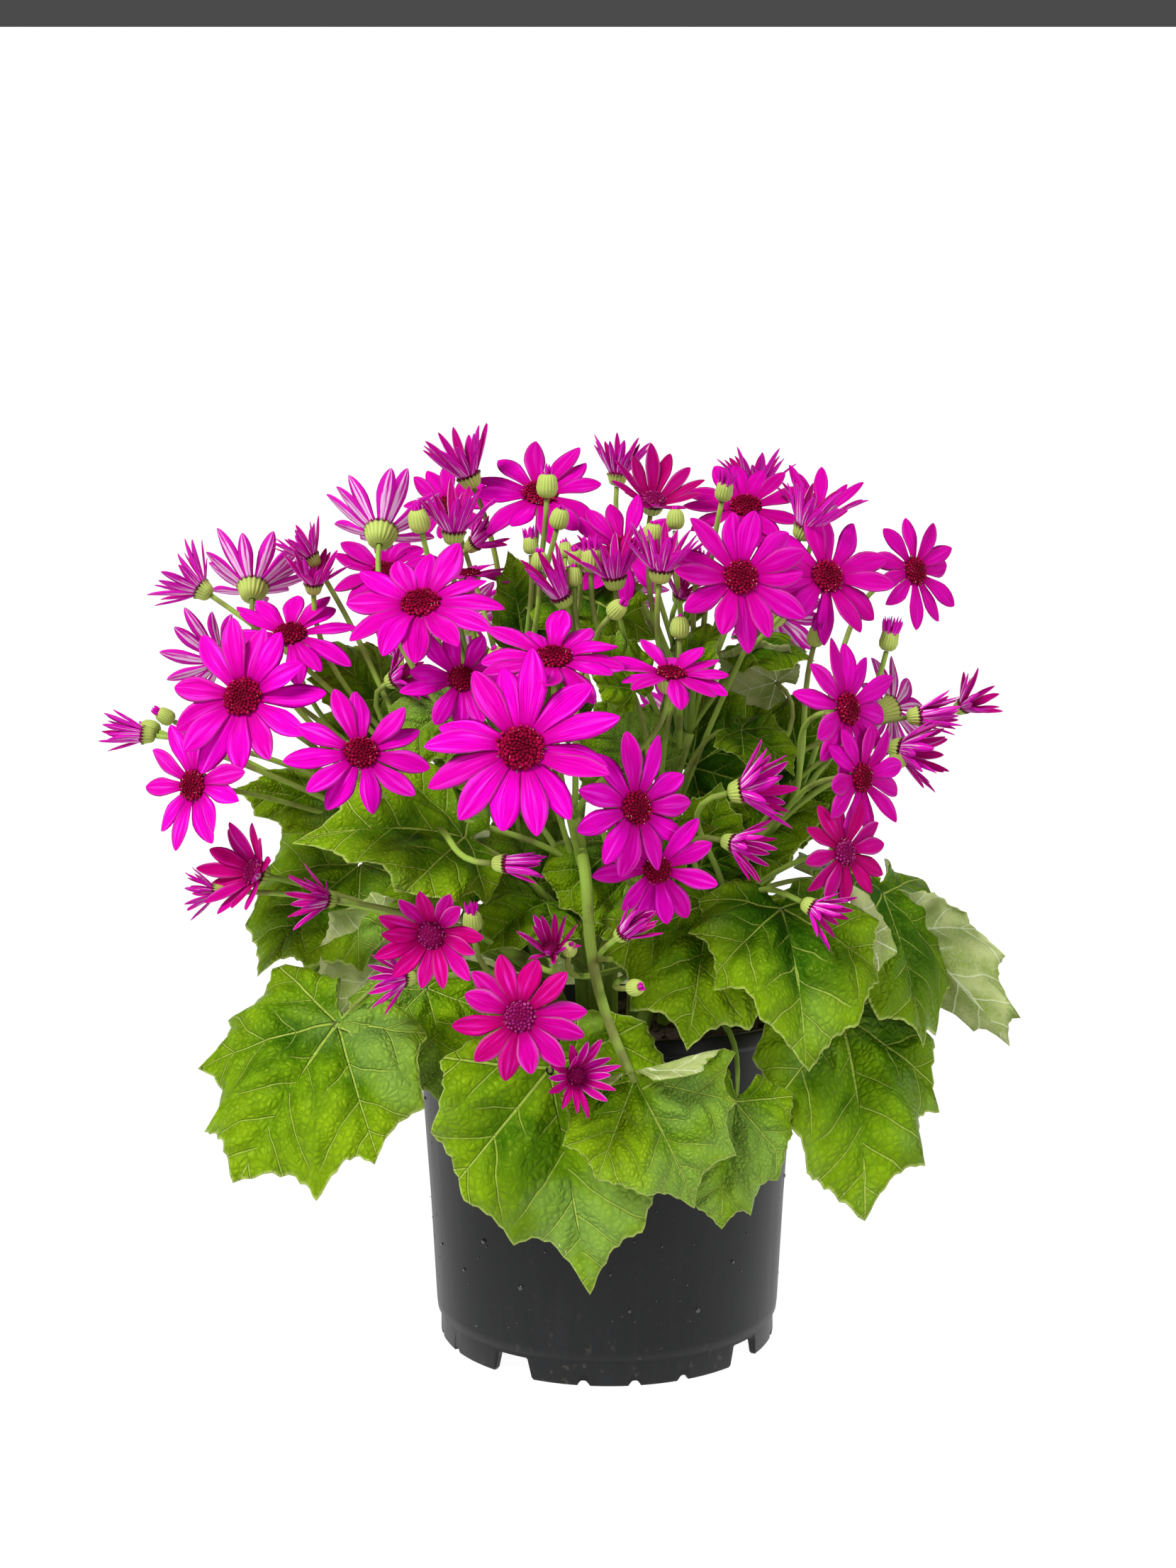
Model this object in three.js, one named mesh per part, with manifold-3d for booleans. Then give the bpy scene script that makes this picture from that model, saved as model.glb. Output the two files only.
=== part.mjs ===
// A florist cineraria in flower, standing in its black nursery pot. Millimetres, +Z up.
// The plant is set out round the pot's axis with the pot's feet at z = 0, and the finished group
// is then moved sideways so that the origin lies under the middle of the whole plant.
import * as THREE from "three";
import { mergeVertices } from "three/addons/utils/BufferGeometryUtils.js";
import Module from "manifold-3d";

const wasm = await Module();
wasm.setup();

// ---- Driving dimensions ----

// Pot
const RIM_RADIUS = 84.5;
const POT_HEIGHT = 139;
const LIP_HEIGHT = 7;
const COLLAR_HEIGHT = 20;
const COLLAR_RADIUS = 83.6;
const WALL_TOP_RADIUS = 82.4;
const WALL_FOOT_RADIUS = 75;
const WALL = 1.8;
const FOOT_HEIGHT = 10.5;
const FOOT_RADIUS = 73.5;
const FOOT_WALL = 3;
const FOOT_GAPS_DEG = [-32, 50, 140, 228];
const FOOT_GAP_WIDTH = 16;
const NOTCH_SIZE = [3.2, 1.9];
const NOTCH_STEP_DEG = 16;
const POT_SIDES = 30;
const FLOOR_THICKNESS = 2;

// Soil
const SOIL_TOP = 131.5;
const SOIL_MOUND = 2.5;
const SOIL_GAP = 0.8;
const SOIL_SIDES = 14;

// Clear distances between neighbouring pieces
const CLEARANCE = 0.5;
const SEAT_GAP = 0.3;
const SHORTEST_EDGE = 0.05;

// Flower heads
const RAY_THICKNESS = 0.75;
const DISC_SHARE = 0.235;
const CUP_HEIGHT = 9;
const CUP_RADIUS = 6.2;
const BUD_LENGTH = 11;
const BUD_SIDES = 5;
const FLORET = 0.32;

// Leaves
const LEAF_THICKNESS = 0.8;

// Stems
const TRUNK_SIDES = 4;
const TRUNK_STEPS = 4;
const PETIOLE_SIDES = 3;
const PETIOLE_STEPS = 3;
const STALK_SIDES = 4;
const TRUNK_RADIUS = 3.3;
const STALK_ROOT_RADIUS = 0.9;
const STALK_RADIUS = 1.5;
const PETIOLE_ROOT_RADIUS = 1.1;
const PETIOLE_RADIUS = 1.6;
const ROOT_DEPTH = 14;
const STALK_STEPS = 2;
const PARTING_ANGLE = 42;

// ---- Colours ----

const look = (color, roughness) => new THREE.MeshStandardMaterial({ color, roughness, metalness: 0 });
const BLACK_PLASTIC = look(0x17181a, 0.45);
const PEAT = look(0x2a1d14, 0.95);
const GREEN = look(0x5d9a2a, 0.6);
const MAGENTA = look(0xd812b4, 0.55);
const CRIMSON_MAGENTA = look(0xc80f7c, 0.55);
const BURGUNDY = look(0x6a0f2c, 0.8);

// ---- Small tools ----

const UP = new THREE.Vector3(0, 0, 1);
const rad = THREE.MathUtils.degToRad;

// Seeded random numbers in 0..1, the same on every run.
function dice(seed) {
  let state = (seed * 2654435761) >>> 0;
  return () => {
    state = (state + 0x6d2b79f5) >>> 0;
    let t = Math.imul(state ^ (state >>> 15), 1 | state);
    t = (t + Math.imul(t ^ (t >>> 7), 61 | t)) ^ t;
    return ((t ^ (t >>> 14)) >>> 0) / 4294967296;
  };
}

// A closed solid from points and triangles, turned the right way out.
function solidOf(points, triangles) {
  const volume = triangles.reduce(
    (sum, [a, b, c]) => sum + points[a].dot(points[b].clone().cross(points[c])),
    0,
  );
  const faces = volume < 0 ? triangles.map(([a, b, c]) => [a, c, b]) : triangles;
  const mesh = new wasm.Mesh({
    numProp: 3,
    vertProperties: new Float32Array(points.flatMap((p) => p.toArray())),
    triVerts: new Uint32Array(faces.flat()),
  });
  return new wasm.Manifold(mesh);
}

// The triangles between two rings of the same length, given by the index of their first points.
function band(first, second, count) {
  const triangles = [];
  for (let i = 0; i < count; i++) {
    const next = (i + 1) % count;
    triangles.push([first + i, first + next, second + next], [first + i, second + next, second + i]);
  }
  return triangles;
}

// The triangles from a ring to one point; the ring's own turning gives the side they face.
function fan(first, count, apex) {
  return Array.from({ length: count }, (_, i) => [first + i, first + ((i + 1) % count), apex]);
}

// A closed body through rings of points, closed at each end by a point in the ring's middle.
function loft(rings, startPoint, endPoint) {
  const count = rings[0].length;
  const points = [...rings.flat(), startPoint, endPoint];
  const triangles = fan(0, count, points.length - 2).map(([a, b, c]) => [b, a, c]);
  for (let ring = 0; ring + 1 < rings.length; ring++)
    triangles.push(...band(ring * count, (ring + 1) * count, count));
  triangles.push(...fan((rings.length - 1) * count, count, points.length - 1));
  return solidOf(points, triangles);
}

const middle = (ring) =>
  ring.reduce((sum, p) => sum.add(p), new THREE.Vector3()).divideScalar(ring.length);

// A manifold solid from a three.js geometry that is already closed.
function fromGeometry(geometry) {
  const bare = geometry.index ? geometry.toNonIndexed() : geometry.clone();
  const merged = mergeVertices(
    new THREE.BufferGeometry().setAttribute("position", bare.getAttribute("position")),
    1e-4,
  );
  return new wasm.Manifold(
    new wasm.Mesh({
      numProp: 3,
      vertProperties: new Float32Array(merged.attributes.position.array),
      triVerts: new Uint32Array(merged.index.array),
    }),
  );
}

const join = (solids) => solids.reduce((sum, part) => sum.add(part));

const largestBody = (part) =>
  part.decompose().reduce((best, body) => (body.volume() > best.volume() ? body : best));

// The unit vector that a head or leaf faces: yaw 0 looks to the front, 90 to the right, pitch is up.
function facing([yaw, pitch]) {
  const [y, p] = [rad(yaw), rad(pitch)];
  return new THREE.Vector3(Math.sin(y) * Math.cos(p), -Math.cos(y) * Math.cos(p), Math.sin(p));
}

// Two unit vectors across a direction, the first one level.
function across(direction) {
  const side = Math.abs(direction.z) > 0.99 ? new THREE.Vector3(1, 0, 0) : UP.clone().cross(direction);
  side.normalize();
  return [side, direction.clone().cross(side).normalize()];
}

// A ring of points round a centre; radiusAt gives the radius at each step.
function ringAt(centre, direction, count, radiusAt) {
  const [side, over] = across(direction);
  return Array.from({ length: count }, (_, i) => {
    const angle = (2 * Math.PI * i) / count;
    const radius = radiusAt(i);
    return centre
      .clone()
      .addScaledVector(side, radius * Math.cos(angle))
      .addScaledVector(over, radius * Math.sin(angle));
  });
}

// Rings of points along a curve for a round stem that thins from one radius to another.
function stemRings(curve, from, to, steps, sides, grow) {
  const frames = curve.computeFrenetFrames(steps, false);
  return Array.from({ length: steps + 1 }, (_, step) => {
    const centre = curve.getPointAt(step / steps);
    const radius = THREE.MathUtils.lerp(from, to, step / steps) + grow;
    return Array.from({ length: sides }, (__, i) => {
      const angle = (2 * Math.PI * i) / sides;
      return centre
        .clone()
        .addScaledVector(frames.normals[step], radius * Math.cos(angle))
        .addScaledVector(frames.binormals[step], radius * Math.sin(angle));
    });
  });
}

function stemAlong(curve, from, to, steps, sides, grow = 0) {
  const rings = stemRings(curve, from, to, steps, sides, grow);
  return loft(rings, middle(rings[0]), middle(rings.at(-1)));
}

// ---- Pot and soil ----

function lathe(profile) {
  const geometry = new THREE.LatheGeometry(
    profile.map(([r, z]) => new THREE.Vector2(r, z)),
    POT_SIDES,
  );
  return fromGeometry(geometry.rotateX(Math.PI / 2));
}

// A box that reaches through the foot ring at an angle from the front.
function footCutter(angleDeg, width, height) {
  const geometry = new THREE.BoxGeometry(width, 4 * FOOT_WALL, 2 * height);
  geometry.translate(0, -FOOT_RADIUS, 0);
  geometry.rotateZ(rad(angleDeg));
  return fromGeometry(geometry);
}

function makePot() {
  const lipFoot = POT_HEIGHT - LIP_HEIGHT;
  const collarFoot = lipFoot - COLLAR_HEIGHT;
  const body = lathe([
    [0, FOOT_HEIGHT - FLOOR_THICKNESS],
    [FOOT_RADIUS - FOOT_WALL, FOOT_HEIGHT - FLOOR_THICKNESS],
    [FOOT_RADIUS - FOOT_WALL, 0],
    [FOOT_RADIUS, 0],
    [FOOT_RADIUS, FOOT_HEIGHT],
    [WALL_FOOT_RADIUS, FOOT_HEIGHT + 0.8],
    [WALL_TOP_RADIUS, collarFoot],
    [COLLAR_RADIUS, collarFoot + 1.2],
    [COLLAR_RADIUS, lipFoot],
    [RIM_RADIUS, lipFoot + 0.6],
    [RIM_RADIUS, POT_HEIGHT - 1],
    [RIM_RADIUS - 0.8, POT_HEIGHT],
    [RIM_RADIUS - WALL, POT_HEIGHT],
    [WALL_TOP_RADIUS - WALL, collarFoot],
    [WALL_FOOT_RADIUS - WALL, FOOT_HEIGHT],
    [0, FOOT_HEIGHT],
  ]);
  const cutters = FOOT_GAPS_DEG.map((angle) =>
    footCutter(angle, FOOT_GAP_WIDTH, FOOT_HEIGHT - FLOOR_THICKNESS),
  );
  FOOT_GAPS_DEG.forEach((gap, index) => {
    const nextGap = FOOT_GAPS_DEG[index + 1] ?? FOOT_GAPS_DEG[0] + 360;
    for (let angle = gap + 1.5 * NOTCH_STEP_DEG; angle < nextGap - NOTCH_STEP_DEG; angle += NOTCH_STEP_DEG)
      cutters.push(footCutter(angle, NOTCH_SIZE[0], NOTCH_SIZE[1]));
  });
  return body.subtract(join(cutters));
}

// The peat fills the pot to just under the lip, in a low uneven mound.
function makeSoil() {
  const collarFoot = POT_HEIGHT - LIP_HEIGHT - COLLAR_HEIGHT;
  const foot = WALL_FOOT_RADIUS - WALL - SOIL_GAP;
  const edge = WALL_TOP_RADIUS - WALL - SOIL_GAP;
  const roll = dice(3);
  const bumpy = (radius, z, spread) =>
    ringAt(new THREE.Vector3(0, 0, z), UP, SOIL_SIDES, () => radius).map((p) =>
      p.setZ(p.z + (roll() - 0.5) * spread),
    );
  return loft(
    [
      bumpy(foot, FOOT_HEIGHT + SEAT_GAP, 0),
      bumpy(edge, collarFoot, 0),
      bumpy(edge, SOIL_TOP - 1.5, 1),
      bumpy(0.7 * edge, SOIL_TOP, 2),
      bumpy(0.4 * edge, SOIL_TOP + 1, 2),
    ],
    new THREE.Vector3(0, 0, FOOT_HEIGHT + SEAT_GAP),
    new THREE.Vector3(0, 0, SOIL_TOP + SOIL_MOUND),
  );
}

// ---- Flower heads ----

const rayCount = (head) => head.rays ?? KINDS[head.kind].rays;

// What a head's kind means for its rays: how steeply they rise from the disc, and their form.
const KINDS = {
  open: { rise: 8, rays: 8, reachShare: 0.5, widthShare: 0.17, discShare: DISC_SHARE },
  cupped: { rise: 34, rays: 8, reachShare: 0.6, widthShare: 0.15, discShare: 0.28 },
  spiky: { rise: 52, rays: 7, reachShare: 0.64, widthShare: 0.1, discShare: 0.28 },
  tuft: { rise: 76, rays: 5, reachShare: 0.8, widthShare: 0.1, discShare: 0.34 },
};

// The rays of a head with the thin plate that joins them, in one closed surface.
// Each ray takes the place of one side of the plate, and rays lean in turn up and down so that
// neighbours pass over and under each other. A domed head carries its disc on the plate; a head on
// a stalk has the rings of its stalk and cup below the plate, in the same surface.
function makeRays(head, grow = 0, stalkRings = null) {
  const kind = KINDS[head.kind];
  const roll = dice(head.seed);
  const out = facing(head.face);
  const [side, over] = across(out);
  const centre = new THREE.Vector3(...head.at);
  const count = rayCount(head);
  const hub = (head.size / 2) * kind.discShare * (head.ownDisc ? 0.9 : 1) + grow;
  const reach = head.size * kind.reachShare;
  const top = RAY_THICKNESS / 2 + grow;
  const spin = roll() * Math.PI;
  const step = (2 * Math.PI) / count;
  const radialAt = (angle) =>
    side.clone().multiplyScalar(Math.cos(angle)).addScaledVector(over, Math.sin(angle));
  const place = (radial, tangent, r, t, h) =>
    centre.clone().addScaledVector(radial, r).addScaledVector(tangent, t).addScaledVector(out, h);
  const plateRing = (radius, h) =>
    Array.from({ length: count }, (_, i) => place(radialAt(spin + i * step), out, radius(i), 0, h));
  const points = [...plateRing(() => hub, top), ...plateRing(() => hub, -top)];
  const triangles = [];
  const closeWith = (first, apexHeight, facesOut) => {
    points.push(centre.clone().addScaledVector(out, apexHeight));
    const cap = fan(first, count, points.length - 1);
    triangles.push(...(facesOut ? cap : cap.map(([a, b, c]) => [b, a, c])));
  };
  if (head.ownDisc) {
    closeWith(0, top, true);
  } else {
    const height = hub * (kind.rise > 30 ? 0.7 : 0.5);
    const ring = points.length;
    points.push(...plateRing((i) => hub * (i % 2 ? 0.62 : 0.74), top + height * 0.75));
    triangles.push(...band(0, ring, count));
    closeWith(ring, top + height, true);
  }
  if (stalkRings) {
    const first = points.length;
    const sunkRings = stalkRings(count, (radius, h) => plateRing(() => radius, h));
    points.push(...sunkRings.flat());
    triangles.push(...band(first, count, count));
    for (let ring = 0; ring + 1 < sunkRings.length; ring++)
      triangles.push(...band(first + (ring + 1) * count, first + ring * count, count));
    points.push(middle(sunkRings.at(-1)));
    const last = first + (sunkRings.length - 1) * count;
    triangles.push(...fan(last, count, points.length - 1).map(([a, b, c]) => [b, a, c]));
  } else {
    closeWith(count, -top, false);
  }
  const claw = hub * Math.sin(step / 2);
  for (let i = 0; i < count; i++) {
    const angle = spin + (i + 0.5) * step;
    const radial = radialAt(angle);
    const tangent = radialAt(angle + Math.PI / 2);
    const lean = rad(kind.rise + (i % 2 ? -4.5 : 4.5) + (roll() - 0.5) * 5);
    const length = (reach - hub) * (0.92 + 0.16 * roll()) + grow;
    const half = Math.max(claw * 1.02, head.size * kind.widthShare * (0.48 + 0.06 * roll())) + grow;
    const sag = kind.rise < 20 ? 0.09 * length : -0.05 * length;
    const section = (share, width) => {
      const along = hub + 0.2 * Math.cos(lean) + length * share * Math.cos(lean);
      const lift = length * share * Math.sin(lean) - sag * share * share;
      const normalOut = Math.cos(lean);
      const normalBack = -Math.sin(lean);
      return [
        [-width, top],
        [width, top],
        [width, -top],
        [-width, -top],
      ].map(([t, n]) => place(radial, tangent, along + n * normalBack, t, lift + n * normalOut));
    };
    const base = [i, (i + 1) % count, count + ((i + 1) % count), count + i];
    const first = points.length;
    points.push(...section(0.55, half));
    for (let j = 0; j < 4; j++) {
      const next = (j + 1) % 4;
      triangles.push([base[j], first + j, first + next], [base[j], first + next, base[next]]);
    }
    const tip = section(1, half * 0.42);
    if (kind.rise > 45) {
      points.push(middle(tip));
      for (let j = 0; j < 4; j++) triangles.push([first + j, first + 4, first + ((j + 1) % 4)]);
      continue;
    }
    points.push(middle([tip[0], tip[3]]), middle([tip[1], tip[2]]));
    const [left, right] = [first + 4, first + 5];
    triangles.push([first, left, right], [first, right, first + 1]);
    triangles.push([first + 3, right, left], [first + 3, first + 2, right]);
    triangles.push([first, first + 3, left], [first + 1, right, first + 2]);
  }
  return solidOf(points, triangles);
}

// The disc of small florets: a low dome whose points stand alternately proud and sunk.
function makeDisc(head, grow = 0) {
  const out = facing(head.face);
  const radius = (head.size / 2) * DISC_SHARE + grow;
  const count = 10;
  const floor = RAY_THICKNESS / 2 + SEAT_GAP - grow;
  const height = radius * 0.5;
  const centre = (h) => new THREE.Vector3(...head.at).addScaledVector(out, h);
  const rings = [
    ringAt(centre(floor), out, count, () => radius * 0.88),
    ringAt(centre(floor + height * 0.45), out, count, (i) => radius + (i % 2 ? FLORET : -FLORET)),
    ringAt(centre(floor + height * 0.85), out, count, (i) => radius * 0.66 + (i % 2 ? -FLORET : FLORET)),
  ];
  return loft(rings, centre(floor), centre(floor + height + grow));
}

const cupScale = (head) => THREE.MathUtils.clamp(head.size / 58, 0.55, 1.1);

// The rings of the green cup of bracts under a head, from its mouth down to its stalk.
function cupRings(head, ringOf, top, grow, bellied) {
  const scale = cupScale(head);
  const foot = top + CUP_HEIGHT * scale;
  const belly = bellied ? [ringOf(CUP_RADIUS * scale + grow, -top - 0.6 * CUP_HEIGHT * scale)] : [];
  return [
    ringOf(CUP_RADIUS * scale * 0.97 + grow, -top),
    ...belly,
    ringOf(CUP_RADIUS * scale * 0.4 + grow, -foot),
  ];
}

// A head's stalk with its cup at the end, as one body.
function makeStalk(head, trunk, from, grow) {
  const out = facing(head.face);
  const centre = new THREE.Vector3(...head.at);
  const ribbed = KINDS[head.kind].rise > 30 || out.y > 0;
  const sides = ribbed ? 6 : STALK_SIDES;
  const top = RAY_THICKNESS / 2 + SEAT_GAP;
  const mouthToStalk = cupRings(
    head,
    (radius, h) =>
      ringAt(centre.clone().addScaledVector(out, h), out, sides, (i) =>
        ribbed && i % 2 ? 0.87 * radius : radius,
      ),
    top,
    grow,
    ribbed,
  );
  const stalk = stalkUpTo(head, trunk, from, sides, grow, CUP_HEIGHT * cupScale(head));
  const rings = [...stalk, ...mouthToStalk.reverse()];
  return loft(rings, middle(rings[0]), centre.clone().addScaledVector(out, -top));
}

// The rings of a stalk from its trunk to just below the cup or bud at its end, turned to suit it.
function stalkUpTo(head, trunk, from, sides, grow, below) {
  const out = facing(head.face);
  const end = new THREE.Vector3(...head.at).addScaledVector(out, -below - 2);
  const curve = stalkCurve(trunk, from, end, out);
  const rings = stemRings(curve, STALK_ROOT_RADIUS, STALK_RADIUS, STALK_STEPS, sides, grow);
  return rings.map((ring) => alignTo(ring, out));
}

// Turns a ring's numbering so that it starts at the point that lies furthest along the first
// axis across the way the head faces, and runs the same way round.
function alignTo(ring, out) {
  const [side, over] = across(out);
  const centre = middle(ring);
  const angleOf = (p) => {
    const offset = p.clone().sub(centre);
    return Math.atan2(offset.dot(over), offset.dot(side));
  };
  const turning = ring.reduce((sum, p, i) => {
    const next = ring[(i + 1) % ring.length];
    return sum + Math.sin(angleOf(next) - angleOf(p));
  }, 0);
  const ordered = turning < 0 ? [...ring].reverse() : ring;
  const offAxis = ordered.map((p) => Math.abs(angleOf(p)));
  const start = offAxis.indexOf(Math.min(...offAxis));
  return [...ordered.slice(start), ...ordered.slice(0, start)];
}

// A small head whose stalk, cup and rays are one body.
function makeSmallHead(head, trunk, from, grow) {
  const top = RAY_THICKNESS / 2 + grow;
  return makeRays(head, grow, (count, ringOf) => [
    ...cupRings(head, ringOf, top, grow, true),
    ...stalkUpTo(head, trunk, from, count, grow, CUP_HEIGHT * cupScale(head)).reverse(),
  ]);
}

// A closed bud on its stalk: a green ball whose mouth shows the tips of the rays.
function makeBud(bud, trunk, from, grow = 0) {
  const out = facing(bud.face);
  const centre = (h) => new THREE.Vector3(...bud.at).addScaledVector(out, h * BUD_LENGTH * bud.size);
  const ringOf = (h, radius) =>
    ringAt(centre(h), out, BUD_SIDES, () => radius * BUD_LENGTH * bud.size + grow);
  const rings = [
    ...stalkUpTo(bud, trunk, from, BUD_SIDES, grow, 0.5 * BUD_LENGTH * bud.size),
    ringOf(-0.48, 0.2),
    ringOf(-0.08, 0.46),
    ringOf(0.42, 0.26),
  ];
  return loft(rings, middle(rings[0]), centre(0.6));
}

// ---- Leaves ----

// Half of the leaf's outline from its tip to its base: angle from the midrib in degrees and reach
// as a share of the leaf's length. Pointed teeth stand between shallow bays.
const LEAF_OUTLINE = [
  [0, 1.0],
  [13, 0.84],
  [25, 0.88],
  [37, 0.75],
  [49, 0.81],
  [62, 0.68],
  [76, 0.74],
  [90, 0.57],
  [104, 0.58],
  [122, 0.4],
  [146, 0.3],
];
const LEAF_NOTCH = 0.05;

// The place of a point of the leaf, given along and across its midrib as shares of its length.
function leafPoint(leaf, frame, along, sideways, lift) {
  const radius = Math.hypot(along, sideways);
  const angle = Math.atan2(sideways, along);
  const droop = -(leaf.droop ?? 0.3) * radius * radius;
  const fold = (leaf.fold ?? 0.12) * Math.abs(sideways);
  const wave = 0.035 * Math.sin(3 * angle + leaf.seed) * radius;
  return frame.root
    .clone()
    .addScaledVector(frame.mid, along * leaf.size)
    .addScaledVector(frame.side, sideways * leaf.size)
    .addScaledVector(frame.normal, (droop + fold + wave) * leaf.size + lift);
}

const squared = (vector, axis) => vector.addScaledVector(axis, -vector.dot(axis)).normalize();

// The leaf's own axes: root is where the stalk joins the blade. The midrib leaves it above the
// straight way to the tip by as much as the blade then droops.
function leafFrame(leaf) {
  const root = new THREE.Vector3(...leaf.at);
  const straight = new THREE.Vector3(...leaf.tip).sub(root);
  leaf.size = straight.length();
  straight.normalize();
  const lifted = squared(facing(leaf.face), straight).multiplyScalar(leaf.droop ?? 0.3);
  const mid = straight.clone().add(lifted).normalize();
  const normal = squared(facing(leaf.face), mid);
  return { root, mid, normal, side: mid.clone().cross(normal) };
}

function makeLeaf(leaf, grow = 0) {
  const frame = leafFrame(leaf);
  const width = leaf.width ?? 1;
  const half = LEAF_THICKNESS / 2 + grow;
  const rim = [
    ...LEAF_OUTLINE,
    [180, LEAF_NOTCH],
    ...LEAF_OUTLINE.slice(1)
      .reverse()
      .map(([angle, reach]) => [-angle, reach]),
  ].map(([angle, reach]) => [rad(angle), reach + grow / leaf.size]);
  const inner = 6;
  const points = [];
  const triangles = [];
  const face = (lift) => {
    const first = points.length;
    const put = (angle, reach) =>
      points.push(leafPoint(leaf, frame, reach * Math.cos(angle), reach * Math.sin(angle) * width, lift));
    for (const [angle, reach] of rim) put(angle, reach);
    for (let i = 0; i < inner; i++) {
      const angle = (2 * Math.PI * i) / inner;
      points.push(
        leafPoint(leaf, frame, 0.3 + 0.28 * Math.cos(angle), 0.33 * Math.sin(angle) * width, lift),
      );
    }
    put(0, 0.3);
    return first;
  };
  const upper = face(half);
  const lower = face(-half);
  const count = rim.length;
  const oneFace = [];
  let held = 0;
  for (let i = 0; i < count; i++) {
    const next = (i + 1) % count;
    const middleAngle = ((i + 0.5) / count) * inner;
    while (held < inner && held + 0.5 < middleAngle) {
      oneFace.push([i, count + ((held + 1) % inner), count + (held % inner)]);
      held++;
    }
    oneFace.push([i, next, count + (held % inner)]);
  }
  while (held < inner) {
    oneFace.push([0, count + ((held + 1) % inner), count + (held % inner)]);
    held++;
  }
  for (let i = 0; i < inner; i++)
    oneFace.push([count + i, count + ((i + 1) % inner), count + inner]);
  for (const [a, b, c] of oneFace) {
    triangles.push([upper + a, upper + b, upper + c]);
    triangles.push([lower + a, lower + c, lower + b]);
  }
  for (const [a, b, c] of band(upper, lower, count)) triangles.push([a, c, b]);
  return solidOf(points, triangles);
}

// ---- Where everything stands ----

// The leafy stems: base is where each leaves the soil, fork is where its flower stalks part.
const LEAFY_STEMS = {
  left: { base: [-24, -4], fork: [-72, -22, 232] },
  top_left: { base: [-10, 10], fork: [-38, -12, 262] },
  top_right: { base: [12, 8], fork: [36, -8, 262] },
  right: { base: [25, -2], fork: [78, -22, 228] },
  front: { base: [-4, -12], fork: [-14, -52, 226] },
  front_right: { base: [14, -18], fork: [50, -40, 188] },
  front_left: { base: [-16, -22], fork: [-42, -64, 174] },
  back: { base: [2, 24], fork: [4, 46, 236] },
};

// The open heads. at is the middle of the disc, face is yaw and pitch, size is the span of the rays.
const BLOOMS = [
  { stem: "front", at: [-32, -140, 252], face: [2, 18], size: 70, rays: 13, ownDisc: true },
  { stem: "left", at: [-145, -75, 274], face: [-8, 12], size: 66, rays: 12, ownDisc: true },
  { stem: "top_left", at: [-73, -90, 309], face: [-5, 40], size: 64, rays: 12, ownDisc: true },
  { stem: "front", at: [-21, -115, 286], face: [2, 50], size: 58, rays: 12, ownDisc: true },
  { stem: "top_right", at: [51, -85, 320], face: [8, 6], size: 58, rays: 12, ownDisc: true },
  { stem: "front_right", at: [9, -126, 231], face: [32, 5], size: 54, rays: 11, ownDisc: true },
  { stem: "front_left", at: [-33, -130, 156], face: [-4, 5], size: 48, rays: 9, crimson: true },
  { stem: "front", at: [-93, -110, 251], face: [14, 28], size: 56, rays: 9 },
  { stem: "left", at: [-166, -70, 239], face: [-28, 5], size: 54, rays: 9 },
  { stem: "right", at: [132, -25, 331], face: [35, 5], size: 52, rays: 9 },
  { stem: "top_right", at: [89, -58, 324], face: [18, 12], size: 58, rays: 9 },
  { stem: "right", at: [93, -82, 269], face: [42, 5], size: 56 },
  { stem: "right", at: [99, -80, 242], face: [40, 0], size: 50, rays: 9 },
  { stem: "front_right", at: [91, -88, 213], face: [32, 5], size: 43, rays: 9, crimson: true },
  { stem: "left", at: [-133, -42, 302], face: [0, 45], size: 58 },
  { stem: "top_left", at: [-57, -92, 280], face: [8, 15], size: 46, rays: 9 },
  { stem: "front_right", at: [17, -116, 208], face: [8, -12], size: 46, rays: 9 },
  { stem: "front", at: [23, -103, 281], face: [10, 62], size: 50 },
  { stem: "top_left", at: [-29, -30, 363], face: [5, 38], size: 62 },
  { stem: "top_right", at: [61, -8, 362], face: [-5, 35], size: 57 },
  { stem: "top_left", at: [-101, 14, 336], face: [0, 30], size: 50 },
  { stem: "top_left", at: [-95, -42, 345], face: [178, 55], size: 48, kind: "cupped" },
  { stem: "left", at: [-154, -18, 325], face: [188, 55], size: 46, kind: "cupped" },
  { stem: "left", at: [-171, -12, 294], face: [-125, 20], size: 42, kind: "cupped" },
  { stem: "top_right", at: [20, -15, 363], face: [10, 42], size: 40, kind: "cupped", crimson: true },
  { stem: "top_right", at: [92, -12, 358], face: [10, 60], size: 42, kind: "cupped" },
  { stem: "front_left", at: [-66, -116, 184], face: [-5, -8], size: 38, kind: "cupped", crimson: true },
  { stem: "front_left", at: [-142, -68, 204], face: [-40, 14], size: 39, kind: "cupped", crimson: true },
  { stem: "back", at: [-70, 84, 322], face: [215, 40], size: 56, rays: 9 },
  { stem: "back", at: [6, 96, 338], face: [178, 45], size: 58, rays: 9 },
  { stem: "back", at: [84, 76, 324], face: [145, 40], size: 56, rays: 9 },
  { stem: "back", at: [40, 128, 272], face: [165, 15], size: 56, rays: 9 },
  { stem: "back", at: [-46, 124, 268], face: [195, 12], size: 54, rays: 9 },
  { stem: "right", at: [138, 52, 276], face: [115, 18], size: 54, rays: 9 },
];

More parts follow.
